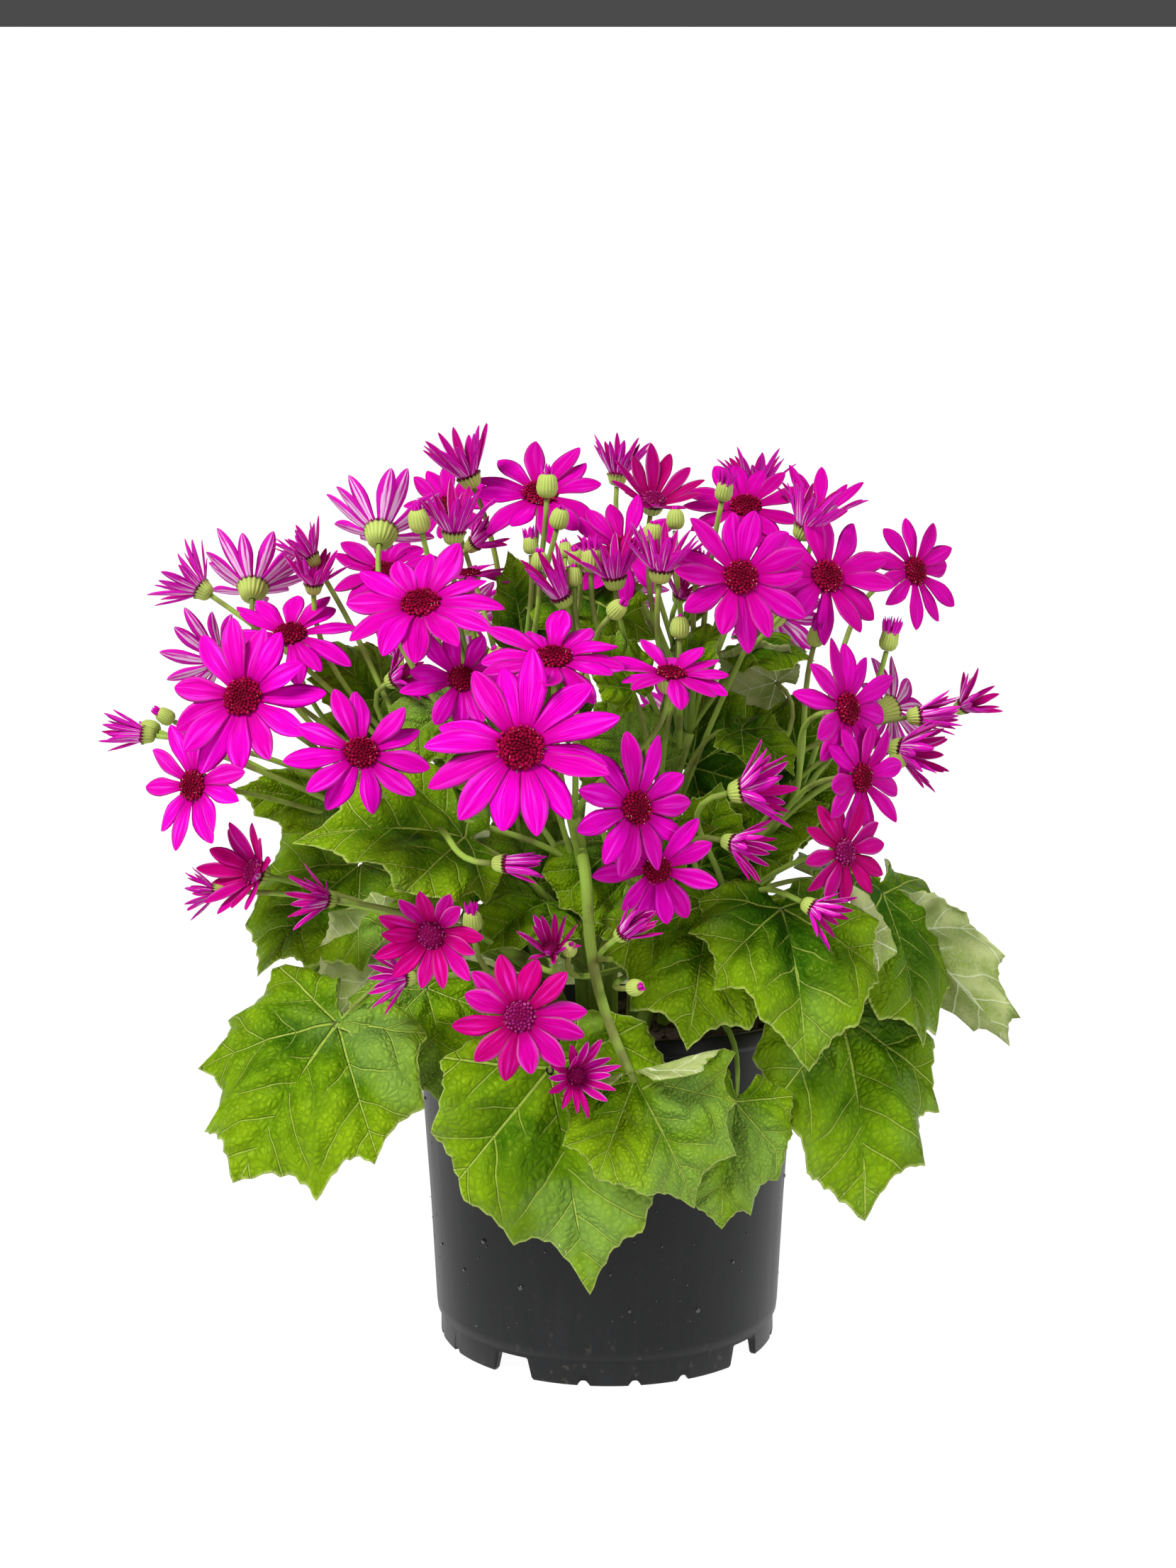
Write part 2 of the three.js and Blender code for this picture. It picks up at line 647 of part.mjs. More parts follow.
// Heads that are only half open, with narrow rolled rays.
const HALF_OPEN = [
  { stem: "top_left", at: [-59, -35, 370], face: [-45, 58], size: 36 },
  { stem: "top_left", at: [-63, -60, 342], face: [10, 70], size: 34 },
  { stem: "left", at: [-172, -36, 322], face: [-90, 34], size: 32 },
  { stem: "top_right", at: [5, 6, 379], face: [20, 75], size: 32 },
  { stem: "top_right", at: [69, 24, 376], face: [5, 75], size: 34 },
  { stem: "top_right", at: [81, -52, 345], face: [50, 58], size: 34 },
  { stem: "top_right", at: [2, -72, 322], face: [-15, 65], size: 34 },
  { stem: "top_right", at: [20, -84, 323], face: [15, 68], size: 34 },
  { stem: "right", at: [122, -46, 254], face: [60, -8], size: 34 },
  { stem: "front_right", at: [50, -100, 237], face: [75, 10], size: 34 },
];

// Small heads just breaking and heads hidden behind others, which stay part of their leafy stem.
const SMALL_HEADS = [
  { stem: "left", at: [-126, -34, 336], face: [-60, 55], size: 26 },
  { stem: "right", at: [157, -10, 274], face: [40, 25], size: 26 },
  { stem: "front_right", at: [78, -94, 192], face: [60, -25], size: 26 },
  { stem: "front_left", at: [-112, -78, 194], face: [-50, 8], size: 26 },
  { stem: "front_left", at: [-159, -66, 196], face: [-80, 0], size: 22 },
  { stem: "front", at: [-38, -132, 211], face: [75, 0], size: 20, kind: "tuft" },
  { stem: "front_right", at: [5, -126, 186], face: [40, 30], size: 20, kind: "tuft" },
  { stem: "front_left", at: [-13, -122, 133], face: [20, 10], size: 28 },
  { stem: "front_left", at: [-78, -102, 166], face: [-60, 0], size: 24 },
  { stem: "back", at: [-104, 76, 300], face: [230, 50], size: 28 },
  { stem: "left", at: [-194, -44, 260], face: [-80, 5], size: 22, kind: "tuft" },
  { stem: "top_right", at: [6, -40, 338], face: [-5, 20], size: 50, kind: "open", rays: 7 },
  { stem: "top_left", at: [-72, 12, 366], face: [-10, 25], size: 46, kind: "open", rays: 7 },
  { stem: "top_left", at: [-59, -30, 329], face: [0, 70], size: 42, kind: "open", rays: 7 },
];

// Closed buds; size is a factor on the full bud length.
const BUDS = [
  { stem: "top_left", at: [-76, -70, 345], face: [-20, 60], size: 0.95 },
  { stem: "top_left", at: [-25, -60, 361], face: [10, 75], size: 0.95 },
  { stem: "top_right", at: [-7, -72, 329], face: [5, 75], size: 0.95 },
  { stem: "front", at: [3, -82, 308], face: [0, 60], size: 0.8 },
  { stem: "top_right", at: [48, -48, 361], face: [20, 60], size: 0.8 },
  { stem: "right", at: [85, -56, 300], face: [20, 60], size: 0.8 },
  { stem: "right", at: [118, -40, 300], face: [30, 70], size: 0.85 },
  { stem: "front_right", at: [9, -120, 165], face: [30, 10], size: 0.7 },
  { stem: "front_left", at: [-52, -104, 188], face: [-10, 70], size: 0.8 },
  { stem: "back", at: [-20, 92, 358], face: [180, 60], size: 0.9 },
];

// The leaves. at is where the stalk meets the blade, tip is the blade's far end, face is the way
// its upper side looks. from is how far up the leafy stem its stalk starts.
const LEAVES = [
  { stem: "front_left", at: [-106, -84, 146], tip: [-137, -104, 86], face: [-20, 25] },
  { stem: "front_left", at: [-23, -97, 131], tip: [-8, -100, 50], face: [-2, 14], width: 0.84, droop: 0.1 },
  { stem: "front", at: [9, -104, 128], tip: [33, -114, 84], face: [8, 18], droop: 0.12, from: 0.85 },
  { stem: "front_right", at: [49, -88, 116], tip: [40, -96, 68], face: [10, 14], width: 0.72, droop: 0.1 },
  { stem: "right", at: [94, -60, 145], tip: [101, -74, 72], face: [22, 18], width: 0.82 },
  { stem: "front_right", at: [68, -76, 190], tip: [75, -106, 136], face: [12, 32], width: 0.88 },
  { stem: "right", at: [115, -38, 194], tip: [121, -60, 129], face: [50, 24] },
  { stem: "right", at: [127, -22, 177], tip: [172, -30, 127], face: [175, 40], width: 0.56 },
  { stem: "front_left", at: [-73, -72, 158], tip: [-59, -94, 114], face: [10, 30] },
  { stem: "left", at: [-86, -48, 176], tip: [-114, -58, 140], face: [160, 30], width: 0.85 },
  { stem: "front_left", at: [-106, -22, 205], tip: [-147, -38, 159], face: [-25, 35], width: 1.1 },
  { stem: "front", at: [-58, -70, 218], tip: [-116, -90, 222], face: [-10, 42], width: 0.85 },
  { stem: "front_right", at: [40, -68, 191], tip: [29, -100, 138], face: [4, 40] },
  { stem: "front", at: [2, -48, 214], tip: [8, -66, 172], face: [0, 30] },
  { stem: "top_right", at: [38, 2, 247], tip: [84, 6, 272], face: [0, 25] },
  { stem: "left", at: [-98, -12, 277], tip: [-131, -14, 297], face: [0, 40], width: 0.85 },
  { stem: "top_left", at: [-20, -28, 322], tip: [18, -52, 300], face: [0, 45], width: 0.7 },
  { stem: "back", at: [-96, 26, 182], tip: [-152, 44, 136], face: [-70, 45] },
  { stem: "back", at: [-74, 76, 172], tip: [-112, 112, 118], face: [218, 40] },
  { stem: "back", at: [-20, 96, 164], tip: [-26, 128, 96], face: [185, 35] },
  { stem: "back", at: [40, 92, 176], tip: [58, 126, 112], face: [155, 38] },
  { stem: "back", at: [88, 62, 168], tip: [130, 88, 112], face: [125, 40] },
  { stem: "right", at: [104, 10, 196], tip: [158, 22, 158], face: [80, 50] },
];

BLOOMS.forEach((head, index) => Object.assign(head, { kind: head.kind ?? "open", seed: 11 + index }));
HALF_OPEN.forEach((head, index) => Object.assign(head, { kind: "spiky", seed: 61 + index }));
SMALL_HEADS.forEach((head, index) =>
  Object.assign(head, { kind: head.kind ?? "spiky", rays: head.rays ?? 5, seed: 91 + index }),
);
LEAVES.forEach((leaf, index) => (leaf.seed = 1 + 2.1 * index));

// ---- Stems ----

function trunkCurve({ base, fork }, depth = ROOT_DEPTH) {
  const foot = new THREE.Vector3(base[0], base[1], SOIL_TOP - depth);
  const top = new THREE.Vector3(...fork);
  const reach = top.distanceTo(foot);
  const lower = foot.clone().addScaledVector(UP, 0.45 * reach);
  const upper = top.clone().addScaledVector(top.clone().sub(lower).normalize(), -0.3 * reach);
  return new THREE.CubicBezierCurve3(foot, lower, upper, top);
}

// A stalk that leaves the trunk along it and reaches its end from behind, along the end's own way.
function stalkCurve(trunk, from, end, arrival, bend = 0.38) {
  const start = trunk.getPointAt(from);
  const length = start.distanceTo(end);
  const straight = end.clone().sub(start).normalize();
  const off = trunk.getTangentAt(from).multiplyScalar(0.35).addScaledVector(straight, 0.65);
  const leave = start.clone().addScaledVector(off.normalize(), bend * length);
  const arrive = end.clone().addScaledVector(arrival, -bend * length);
  return new THREE.CubicBezierCurve3(start, leave, arrive, end);
}

// How far up its trunk a stalk parts from it, so that it leaves at about the same angle each time.
function partingPoint(trunk, head) {
  const end = new THREE.Vector3(...head.at);
  const miss = (share) => {
    const way = end.clone().sub(trunk.getPointAt(share)).normalize();
    return Math.abs(way.angleTo(trunk.getTangentAt(share)) - rad(PARTING_ANGLE));
  };
  const choices = Array.from({ length: 12 }, (_, i) => 0.45 + 0.05 * i);
  return choices.reduce((best, share) => (miss(share) < miss(best) ? share : best));
}

const onStem = (pieces, name) => pieces.filter((piece) => piece.stem === name);

// Everything green on one leafy stem apart from the blades: trunk, stalks, cups and buds.
function makeSkeleton(name, grow = 0) {
  const trunk = trunkCurve(LEAFY_STEMS[name]);
  const solids = [stemAlong(trunk, TRUNK_RADIUS, 0.75 * TRUNK_RADIUS, TRUNK_STEPS, TRUNK_SIDES, grow)];
  [...onStem(BLOOMS, name), ...onStem(HALF_OPEN, name)].forEach((head) =>
    solids.push(makeStalk(head, trunk, partingPoint(trunk, head), grow)),
  );
  onStem(SMALL_HEADS, name).forEach((head) =>
    solids.push(makeSmallHead(head, trunk, partingPoint(trunk, head), grow)),
  );
  onStem(BUDS, name).forEach((bud) =>
    solids.push(makeBud(bud, trunk, partingPoint(trunk, bud), grow)),
  );
  onStem(LEAVES, name).forEach((leaf, index) => {
    const { root, mid, normal } = leafFrame(leaf);
    const end = root.clone().addScaledVector(mid, 0.05 * leaf.size).addScaledVector(normal, -0.5);
    const bend = leaf.at[2] < POT_HEIGHT + 20 ? 0.5 : 0.3;
    const curve = stalkCurve(trunk, leaf.from ?? 0.3 + 0.06 * (index % 6), end, mid, bend);
    solids.push(
      stemAlong(curve, PETIOLE_ROOT_RADIUS, PETIOLE_RADIUS, PETIOLE_STEPS, PETIOLE_SIDES, grow),
    );
  });
  return join(solids);
}

// ---- Clearing and joining ----

function boxesMeet(a, b) {
  const [p, q] = [a.boundingBox(), b.boundingBox()];
  return [0, 1, 2].every((k) => p.min[k] <= q.max[k] && q.min[k] <= p.max[k]);
}

// The piece cut back from the swollen forms of those that keep their place, without loose scraps.
function clearOf(piece, obstacles) {
  const cut = obstacles
    .filter((obstacle) => boxesMeet(piece, obstacle))
    .reduce((rest, obstacle) => rest.subtract(obstacle), piece);
  return largestBody(cut);
}

const pieces = [];
const keep = (name, solid, material) => pieces.push({ name, solid, material });
const obstacles = [];

const stemNames = Object.keys(LEAFY_STEMS);
const swollenSkeletons = stemNames.map((name) => makeSkeleton(name, CLEARANCE));
const trunksInSoil = stemNames.map((name) =>
  stemAlong(
    trunkCurve(LEAFY_STEMS[name], ROOT_DEPTH + 0.5),
    TRUNK_RADIUS,
    0.75 * TRUNK_RADIUS,
    TRUNK_STEPS,
    TRUNK_SIDES,
    0.6,
  ),
);

const potOutside = lathe([
  [0, 0],
  [RIM_RADIUS + CLEARANCE, 0],
  [RIM_RADIUS + CLEARANCE, POT_HEIGHT + CLEARANCE],
  [0, POT_HEIGHT + CLEARANCE],
]);

keep("pot", makePot(), BLACK_PLASTIC);
keep("soil", makeSoil().subtract(join(trunksInSoil)), PEAT);

const skeletons = stemNames.map((name, index) =>
  clearOf(makeSkeleton(name), swollenSkeletons.slice(0, index)),
);
obstacles.push(...swollenSkeletons);

const numbered = (prefix, index) => `${prefix}_${String(index + 1).padStart(2, "0")}`;

BLOOMS.forEach((head, index) => {
  const name = numbered("bloom", index);
  const colour = head.crimson ? CRIMSON_MAGENTA : MAGENTA;
  if (head.ownDisc) {
    keep(`${name}_rays`, clearOf(makeRays(head), obstacles), colour);
    keep(`${name}_disc`, clearOf(makeDisc(head), obstacles), BURGUNDY);
    obstacles.push(makeRays(head, CLEARANCE).add(makeDisc(head, CLEARANCE)));
  } else {
    keep(name, clearOf(makeRays(head), obstacles), colour);
    obstacles.push(makeRays(head, CLEARANCE));
  }
});

HALF_OPEN.forEach((head, index) => {
  keep(numbered("half_open", index), clearOf(makeRays(head), obstacles), MAGENTA);
  obstacles.push(makeRays(head, CLEARANCE));
});

// The leaves give way to everything else, and a leafy stem's leaves to those of the stems before it.
stemNames.forEach((name, index) => {
  const leaves = onStem(LEAVES, name);
  const others = [potOutside, ...obstacles.filter((obstacle) => obstacle !== swollenSkeletons[index])];
  const blades = leaves.map((leaf) => clearOf(makeLeaf(leaf), others));
  keep(`leafy_stem_${name}`, largestBody(join([skeletons[index], ...blades])), GREEN);
  obstacles.push(...leaves.map((leaf) => makeLeaf(leaf, CLEARANCE)));
});

// ---- The scene graph ----

const plant = new THREE.Group();
for (const { name, solid, material } of pieces) {
  const { vertProperties, triVerts } = solid.simplify(SHORTEST_EDGE).getMesh();
  const geometry = new THREE.BufferGeometry();
  geometry.setAttribute("position", new THREE.BufferAttribute(new Float32Array(vertProperties), 3));
  geometry.setIndex(new THREE.BufferAttribute(new Uint32Array(triVerts), 1));
  const mesh = new THREE.Mesh(geometry, material);
  mesh.name = name;
  plant.add(mesh);
}

const box = new THREE.Box3().setFromObject(plant);
const centre = box.getCenter(new THREE.Vector3());
plant.position.set(-centre.x, -centre.y, 0);

export default plant;
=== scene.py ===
"""Dresses the solids of a potted cineraria: petals, discs, buds, leaves, stems, peat and the black pot.

Lengths in the tables and properties are millimetres from the pot's axis; make_object() turns them into
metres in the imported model's frame.
"""

import math

import bpy
import numpy as np
from bpy.props import FloatProperty, FloatVectorProperty, IntProperty, PointerProperty
from bpy.types import Operator, Panel, PropertyGroup
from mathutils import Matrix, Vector


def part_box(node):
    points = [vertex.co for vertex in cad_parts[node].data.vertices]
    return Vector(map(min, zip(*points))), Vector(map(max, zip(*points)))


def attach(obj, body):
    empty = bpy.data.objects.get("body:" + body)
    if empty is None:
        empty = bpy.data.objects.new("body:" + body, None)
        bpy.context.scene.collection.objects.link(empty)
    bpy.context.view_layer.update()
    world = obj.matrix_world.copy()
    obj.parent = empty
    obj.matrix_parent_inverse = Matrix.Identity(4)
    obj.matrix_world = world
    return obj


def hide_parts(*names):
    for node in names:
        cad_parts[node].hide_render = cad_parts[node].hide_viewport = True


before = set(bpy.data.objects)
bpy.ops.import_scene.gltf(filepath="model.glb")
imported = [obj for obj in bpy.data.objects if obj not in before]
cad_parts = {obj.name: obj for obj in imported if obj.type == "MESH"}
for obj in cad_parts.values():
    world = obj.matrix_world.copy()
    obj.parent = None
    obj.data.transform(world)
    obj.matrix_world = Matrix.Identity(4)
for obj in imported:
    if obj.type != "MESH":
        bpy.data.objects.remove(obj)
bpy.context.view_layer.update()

bl_info = {
    "name": "Potted Cineraria",
    "version": (1, 0, 0),
    "blender": (4, 5, 0),
    "location": "View3D > Sidebar > Cineraria",
    "description": "Builds a flowering cineraria in its nursery pot, piece by piece",
    "category": "Add Mesh",
}

# ---------------------------------------------------------------- where everything stands

POT_LOW, POT_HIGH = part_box("pot")
AXIS = np.array([(POT_LOW.x + POT_HIGH.x) / 2, (POT_LOW.y + POT_HIGH.y) / 2, 0.0])

# The leafy stems: where each leaves the soil, and where its flower stalks part.
LEAFY_STEMS = {
    "left": ((-24, -4), (-72, -22, 232)),
    "top_left": ((-10, 10), (-38, -12, 262)),
    "top_right": ((12, 8), (36, -8, 262)),
    "right": ((25, -2), (78, -22, 228)),
    "front": ((-4, -12), (-14, -52, 226)),
    "front_right": ((14, -18), (50, -40, 188)),
    "front_left": ((-16, -22), (-42, -64, 174)),
    "back": ((2, 24), (4, 46, 236)),
}


def head(stem, at, face, size, petals=11, kind="open", rays=8, crimson=False, branch=None):
    """One flower head: the middle of its disc, its yaw and pitch, the span and number of its petals.

    rays is the number of petals of its solid; branch is where its stalk starts, if not on the leafy stem.
    """
    return {
        "stem": stem,
        "at": at,
        "face": face,
        "size": size,
        "petals": petals,
        "kind": kind,
        "rays": rays,
        "crimson": crimson,
        "branch": branch,
    }


# The open heads, in the order of the nodes bloom_01 to bloom_34.
BLOOMS = [
    head("front", (-32, -140, 252), (2, 18), 70, 14, rays=13),
    head("left", (-145, -75, 274), (-8, 12), 66, 13, rays=12),
    head("top_left", (-73, -90, 309), (-5, 40), 64, 12, rays=12),
    head("front", (-21, -115, 286), (2, 50), 58, 12, rays=12),
    head("top_right", (51, -85, 320), (8, 6), 58, 13, rays=12),
    head("front_right", (9, -126, 231), (32, 5), 54, 11, rays=11),
    head("front_left", (-33, -130, 156), (-4, 5), 48, 12, rays=9, crimson=True),
    head("front", (-93, -110, 251), (14, 28), 56, 11, rays=9),
    head("left", (-166, -70, 239), (-28, 5), 54, 11, rays=9),
    head("right", (132, -25, 331), (35, 5), 52, 11, rays=9),
    head("top_right", (89, -58, 324), (18, 12), 58, 12, rays=9),
    head("right", (93, -82, 269), (42, 5), 56, 12),
    head("right", (99, -80, 242), (40, 0), 50, 11, rays=9),
    head("front_right", (91, -88, 213), (32, 5), 43, 12, rays=9, crimson=True),
    head("left", (-133, -42, 302), (0, 45), 58, 12),
    head("top_left", (-57, -92, 280), (8, 15), 46, 11, rays=9),
    head("front_right", (17, -116, 208), (8, -12), 46, 11, rays=9),
    head("front", (23, -103, 281), (10, 62), 50, 12),
    head("top_left", (-29, -30, 363), (5, 38), 62, 12),
    head("top_right", (61, -8, 362), (-5, 35), 57, 12),
    head("top_left", (-101, 14, 336), (0, 30), 50, 12),
    head("top_left", (-95, -42, 345), (178, 55), 48, 12, "cupped"),
    head("left", (-154, -18, 325), (188, 55), 46, 12, "cupped"),
    head("left", (-171, -12, 294), (-125, 20), 42, 11, "cupped"),
    head("top_right", (20, -15, 363), (10, 42), 40, 12, "cupped", crimson=True),
    head("top_right", (92, -12, 358), (10, 60), 42, 12, "cupped"),
    head("front_left", (-66, -116, 184), (-5, -8), 38, 13, "cupped", crimson=True),
    head("front_left", (-142, -68, 204), (-40, 14), 39, 13, "cupped", crimson=True),
    head("back", (-70, 84, 322), (215, 40), 56, 12, rays=9),
    head("back", (6, 96, 338), (178, 45), 58, 12, rays=9),
    head("back", (84, 76, 324), (145, 40), 56, 12, rays=9),
    head("back", (40, 128, 272), (165, 15), 56, 12, rays=9),
    head("back", (-46, 124, 268), (195, 12), 54, 12, rays=9),
    head("right", (138, 52, 276), (115, 18), 54, 12, rays=9),
]
WHOLE_DISCS = 6  # the first blooms have their disc as a node of its own

# Heads that are only half open, in the order of the nodes half_open_01 to half_open_10.
HALF_OPEN = [
    head("top_left", (-59, -35, 370), (-45, 58), 36, 17, "spiky"),
    head("top_left", (-63, -60, 342), (10, 70), 34, 16, "spiky"),
    head("left", (-172, -36, 322), (-90, 34), 32, 16, "spiky"),
    head("top_right", (5, 6, 379), (20, 75), 32, 15, "spiky"),
    head("top_right", (69, 24, 376), (5, 75), 34, 16, "spiky"),
    head("top_right", (81, -52, 345), (50, 58), 34, 17, "spiky"),
    head("top_right", (2, -72, 322), (-15, 65), 34, 18, "spiky"),
    head("top_right", (20, -84, 323), (15, 68), 34, 18, "spiky"),
    head("right", (122, -46, 254), (60, -8), 34, 17, "spiky"),
    head("front_right", (50, -100, 237), (75, 10), 34, 17, "spiky"),
]

# Small heads just breaking and heads behind others, which belong to the node of their leafy stem.
SMALL_HEADS = [
    head("left", (-126, -34, 336), (-60, 55), 26, 13, "spiky"),
    head("right", (157, -10, 274), (40, 25), 26, 15, "spiky"),
    head("front_right", (78, -94, 192), (60, -25), 26, 14, "spiky"),
    head("front_left", (-112, -78, 194), (-50, 8), 26, 14, "spiky"),
    head("front_left", (-159, -66, 196), (-80, 0), 22, 13, "spiky"),
    head("front", (-38, -132, 211), (75, 0), 20, 12, "tuft", branch=(-66, -86, 222)),
    head("front_right", (5, -126, 186), (40, 30), 20, 12, "tuft"),
    head("front_left", (-13, -122, 133), (20, 10), 28, 15, "spiky"),
    head("front_left", (-78, -102, 166), (-60, 0), 24, 13, "spiky"),
    head("back", (-104, 76, 300), (230, 50), 28, 14, "spiky"),
    head("left", (-194, -44, 260), (-80, 5), 22, 14, "tuft"),
    head("top_right", (6, -40, 338), (-5, 20), 50, 12, rays=7),
    head("top_left", (-72, 12, 366), (-10, 25), 46, 12, rays=7),
    head("top_left", (-59, -30, 329), (0, 70), 42, 12, rays=7),
    head("front_left", (-22, -112, 178), (-10, 40), 24, 13, "spiky"),
    head("front_right", (47, -98, 217), (60, -12), 26, 15, "spiky"),
    head("top_right", (130, -42, 268), (85, 8), 24, 14, "tuft"),
    head("left", (-124, -38, 324), (10, 62), 28, 15, "spiky"),
    head("top_left", (-56, -38, 341), (60, 30), 24, 14, "spiky"),
    head("top_right", (30, -50, 318), (20, 35), 24, 13, "spiky"),
    head("top_left", (-19, -75, 314), (-40, 50), 26, 15, "tuft"),
    head("left", (-90, -34, 284), (60, 20), 28, 14, "spiky"),
]

# Buds: the middle of each, its yaw and pitch, its length as a factor on a full bud, and how far it opens.
BUDS = [
    ("top_left", (-76, -70, 345), (-20, 60), 0.95, 0.3),
    ("top_left", (-25, -60, 361), (10, 75), 0.95, 0.5),
    ("top_right", (-7, -72, 329), (5, 75), 0.95, 0.8),
    ("front", (3, -82, 308), (40, 30), 0.8, 0.3),
    ("top_right", (48, -48, 361), (20, 60), 0.8, 1.0),
    ("right", (85, -56, 300), (20, 60), 0.8, 1.0),
    ("right", (118, -40, 300), (30, 70), 0.85, 1.0),
    ("front_right", (9, -120, 165), (30, 10), 0.7, 0.3),
    ("front_left", (-52, -104, 188), (-10, 70), 0.8, 0.6),
    ("back", (-20, 92, 358), (180, 60), 0.9, 0.4),
    ("top_left", (-28, -62, 330), (0, 70), 0.75, 0.2),
    ("left", (-186, -40, 268), (-60, 30), 0.75, 0.4),
    ("left", (-193, -38, 263), (-100, 20), 0.8, 0.1),
    ("top_right", (35, -70, 324), (10, 70), 0.9, 1.0),
    ("top_left", (-20, -58, 348), (30, 60), 0.85, 0.1),
    ("top_left", (-13, -66, 330), (-20, 60), 0.8, 0.1),
    ("top_right", (-14, -74, 322), (0, 80), 0.75, 0.1),
    ("top_left", (-18, -70, 306), (-10, 70), 0.65, 0.0),
    ("top_right", (28, -74, 302), (0, 80), 0.85, 0.0),
    ("top_right", (27, -62, 347), (0, 80), 0.8, 0.1),
    ("top_right", (17, -78, 338), (20, 70), 0.9, 0.0),
    ("front", (-43, -98, 288), (-30, 50), 0.8, 0.0),
    ("front_right", (-15, -118, 179), (10, 40), 0.6, 0.0),
    ("right", (120, -48, 249), (60, 10), 0.75, 0.3),
    ("top_left", (-32, -52, 338), (-10, 75), 0.7, 0.9),
]


def leaf(stem, at, tip, face, width=1.0, droop=0.3, start=None, curl=None):
    """One leaf: where its stalk meets the blade, the blade's far end, and the way its upper side looks.

    start is how far up the leafy stem its stalk begins. curl is the side that turns over, as its angle
    from the midrib, how far out the turn begins, and its angle in radians.
    """
    return {
        "stem": stem,
        "at": at,
        "tip": tip,
        "face": face,
        "width": width,
        "droop": droop,
        "start": start,
        "curl": curl,
    }


# The leaves of the leafy stems' solids, in their order.
LEAVES = [
    leaf("front_left", (-106, -84, 146), (-137, -104, 86), (-20, 25)),
    leaf("front_left", (-23, -97, 131), (-8, -100, 50), (-2, 14), 0.84, 0.1),
    leaf("front", (9, -104, 128), (33, -114, 84), (8, 18), droop=0.12, start=0.85, curl=(-165, 0.04, 2.15)),
    leaf("front_right", (49, -88, 116), (40, -96, 68), (10, 14), 0.72, 0.1),
    leaf("right", (94, -60, 145), (101, -74, 72), (22, 18), 0.82),
    leaf("front_right", (68, -76, 190), (75, -106, 136), (12, 32), 0.88),
    leaf("right", (115, -38, 194), (121, -60, 129), (50, 24), curl=(84, 0.47, 2.3)),
    leaf("right", (127, -22, 177), (172, -30, 127), (175, 40), 0.56),
    leaf("front_left", (-73, -72, 158), (-59, -94, 114), (10, 30)),
    leaf("left", (-86, -48, 176), (-114, -58, 140), (160, 30), 0.85),
    leaf("front_left", (-106, -22, 205), (-147, -38, 159), (-25, 35), 1.1),
    leaf("front", (-58, -70, 218), (-116, -90, 222), (-10, 42), 0.85),
    leaf("front_right", (40, -68, 191), (29, -100, 138), (4, 40)),
    leaf("front", (4, -38, 214), (10, -56, 172), (0, 30)),
    leaf("top_right", (38, 2, 247), (84, 6, 272), (0, 25)),
    leaf("left", (-98, -12, 277), (-131, -14, 297), (0, 40), 0.85),
    leaf("top_left", (-20, -28, 322), (18, -52, 300), (0, 45), 0.7),
    leaf("back", (-96, 26, 182), (-152, 44, 136), (-70, 45)),
    leaf("back", (-74, 76, 172), (-112, 112, 118), (218, 40)),
    leaf("back", (-20, 96, 164), (-26, 128, 96), (185, 35)),
    leaf("back", (40, 92, 176), (58, 126, 112), (155, 38)),
    leaf("back", (88, 62, 168), (130, 88, 112), (125, 40)),
    leaf("right", (104, 10, 196), (158, 22, 158), (80, 50)),
]

# Small leaves inside the plant.
INNER_LEAVES = [
    leaf("top_right", (74, -16, 284), (48, -22, 296), (170, 30), 0.8),
    leaf("top_right", (60, -14, 300), (88, -22, 290), (0, 50), 0.8),
    leaf("front_right", (34, -30, 168), (60, -50, 150), (10, 50), 0.9),
    leaf("front", (-26, -44, 190), (-50, -70, 176), (0, 40), 0.9),
    leaf("left", (-62, -20, 236), (-84, -34, 220), (-10, 30), 0.8),
    leaf("top_right", (30, -26, 300), (44, -44, 318), (10, 50), 0.6),
    leaf("top_left", (-46, -20, 290), (-66, -30, 268), (0, 40), 0.8),
    leaf("right", (50, 10, 219), (100, 6, 236), (10, 40)),
    leaf("top_right", (47, 20, 254), (60, 12, 286), (0, 30), 0.9),
    leaf("top_right", (32, -62, 288), (46, -68, 303), (10, 50), 0.9),
    leaf("front", (14, -30, 244), (-8, -40, 274), (-10, 35)),
    leaf("front_right", (56, -10, 211), (92, -22, 231), (20, 45), 0.9),
    leaf("front_right", (40, -24, 204), (48, -30, 236), (0, 30), 0.9),
    leaf("left", (-108, -20, 229), (-160, -26, 236), (0, 20), 0.5),
    leaf("left", (-92, -4, 260), (-134, -8, 262), (0, 30), 0.7),
    leaf("front", (-48, -30, 244), (-74, -36, 258), (0, 35), 0.9),
    leaf("front", (-30, 4, 170), (-48, -10, 196), (0, 30), 0.9),
    leaf("front_right", (-4, 10, 172), (14, 0, 196), (0, 30), 0.9),
    leaf("top_right", (56, -40, 262), (76, -50, 246), (10, 45), 0.9),
    leaf("top_left", (-14, -40, 268), (-34, -52, 290), (0, 40), 0.8),
    leaf("left", (-66, -40, 200), (-92, -54, 186), (-20, 40), 0.9),
    leaf("front", (20, -50, 206), (40, -66, 222), (10, 40), 0.8),
    leaf("right", (70, 0, 236), (104, -4, 276), (10, 35)),
    leaf("top_left", (-36, -30, 300), (-42, -34, 338), (0, 20), 0.5),
    leaf("top_right", (10, -60, 278), (-6, -66, 300), (0, 40), 0.8),
    leaf("left", (-66, -36, 272), (-92, -42, 248), (0, 35), 0.9),
    leaf("front", (-30, -10, 196), (-48, -16, 232), (0, 20), 0.8),
]

for place, item in enumerate(LEAVES + INNER_LEAVES):
    item["seed"] = 1 + 2.1 * place
for first_seed, heads in ((11, BLOOMS), (61, HALF_OPEN), (91, SMALL_HEADS)):
    for place, item in enumerate(heads):
        item["seed"] = first_seed + place

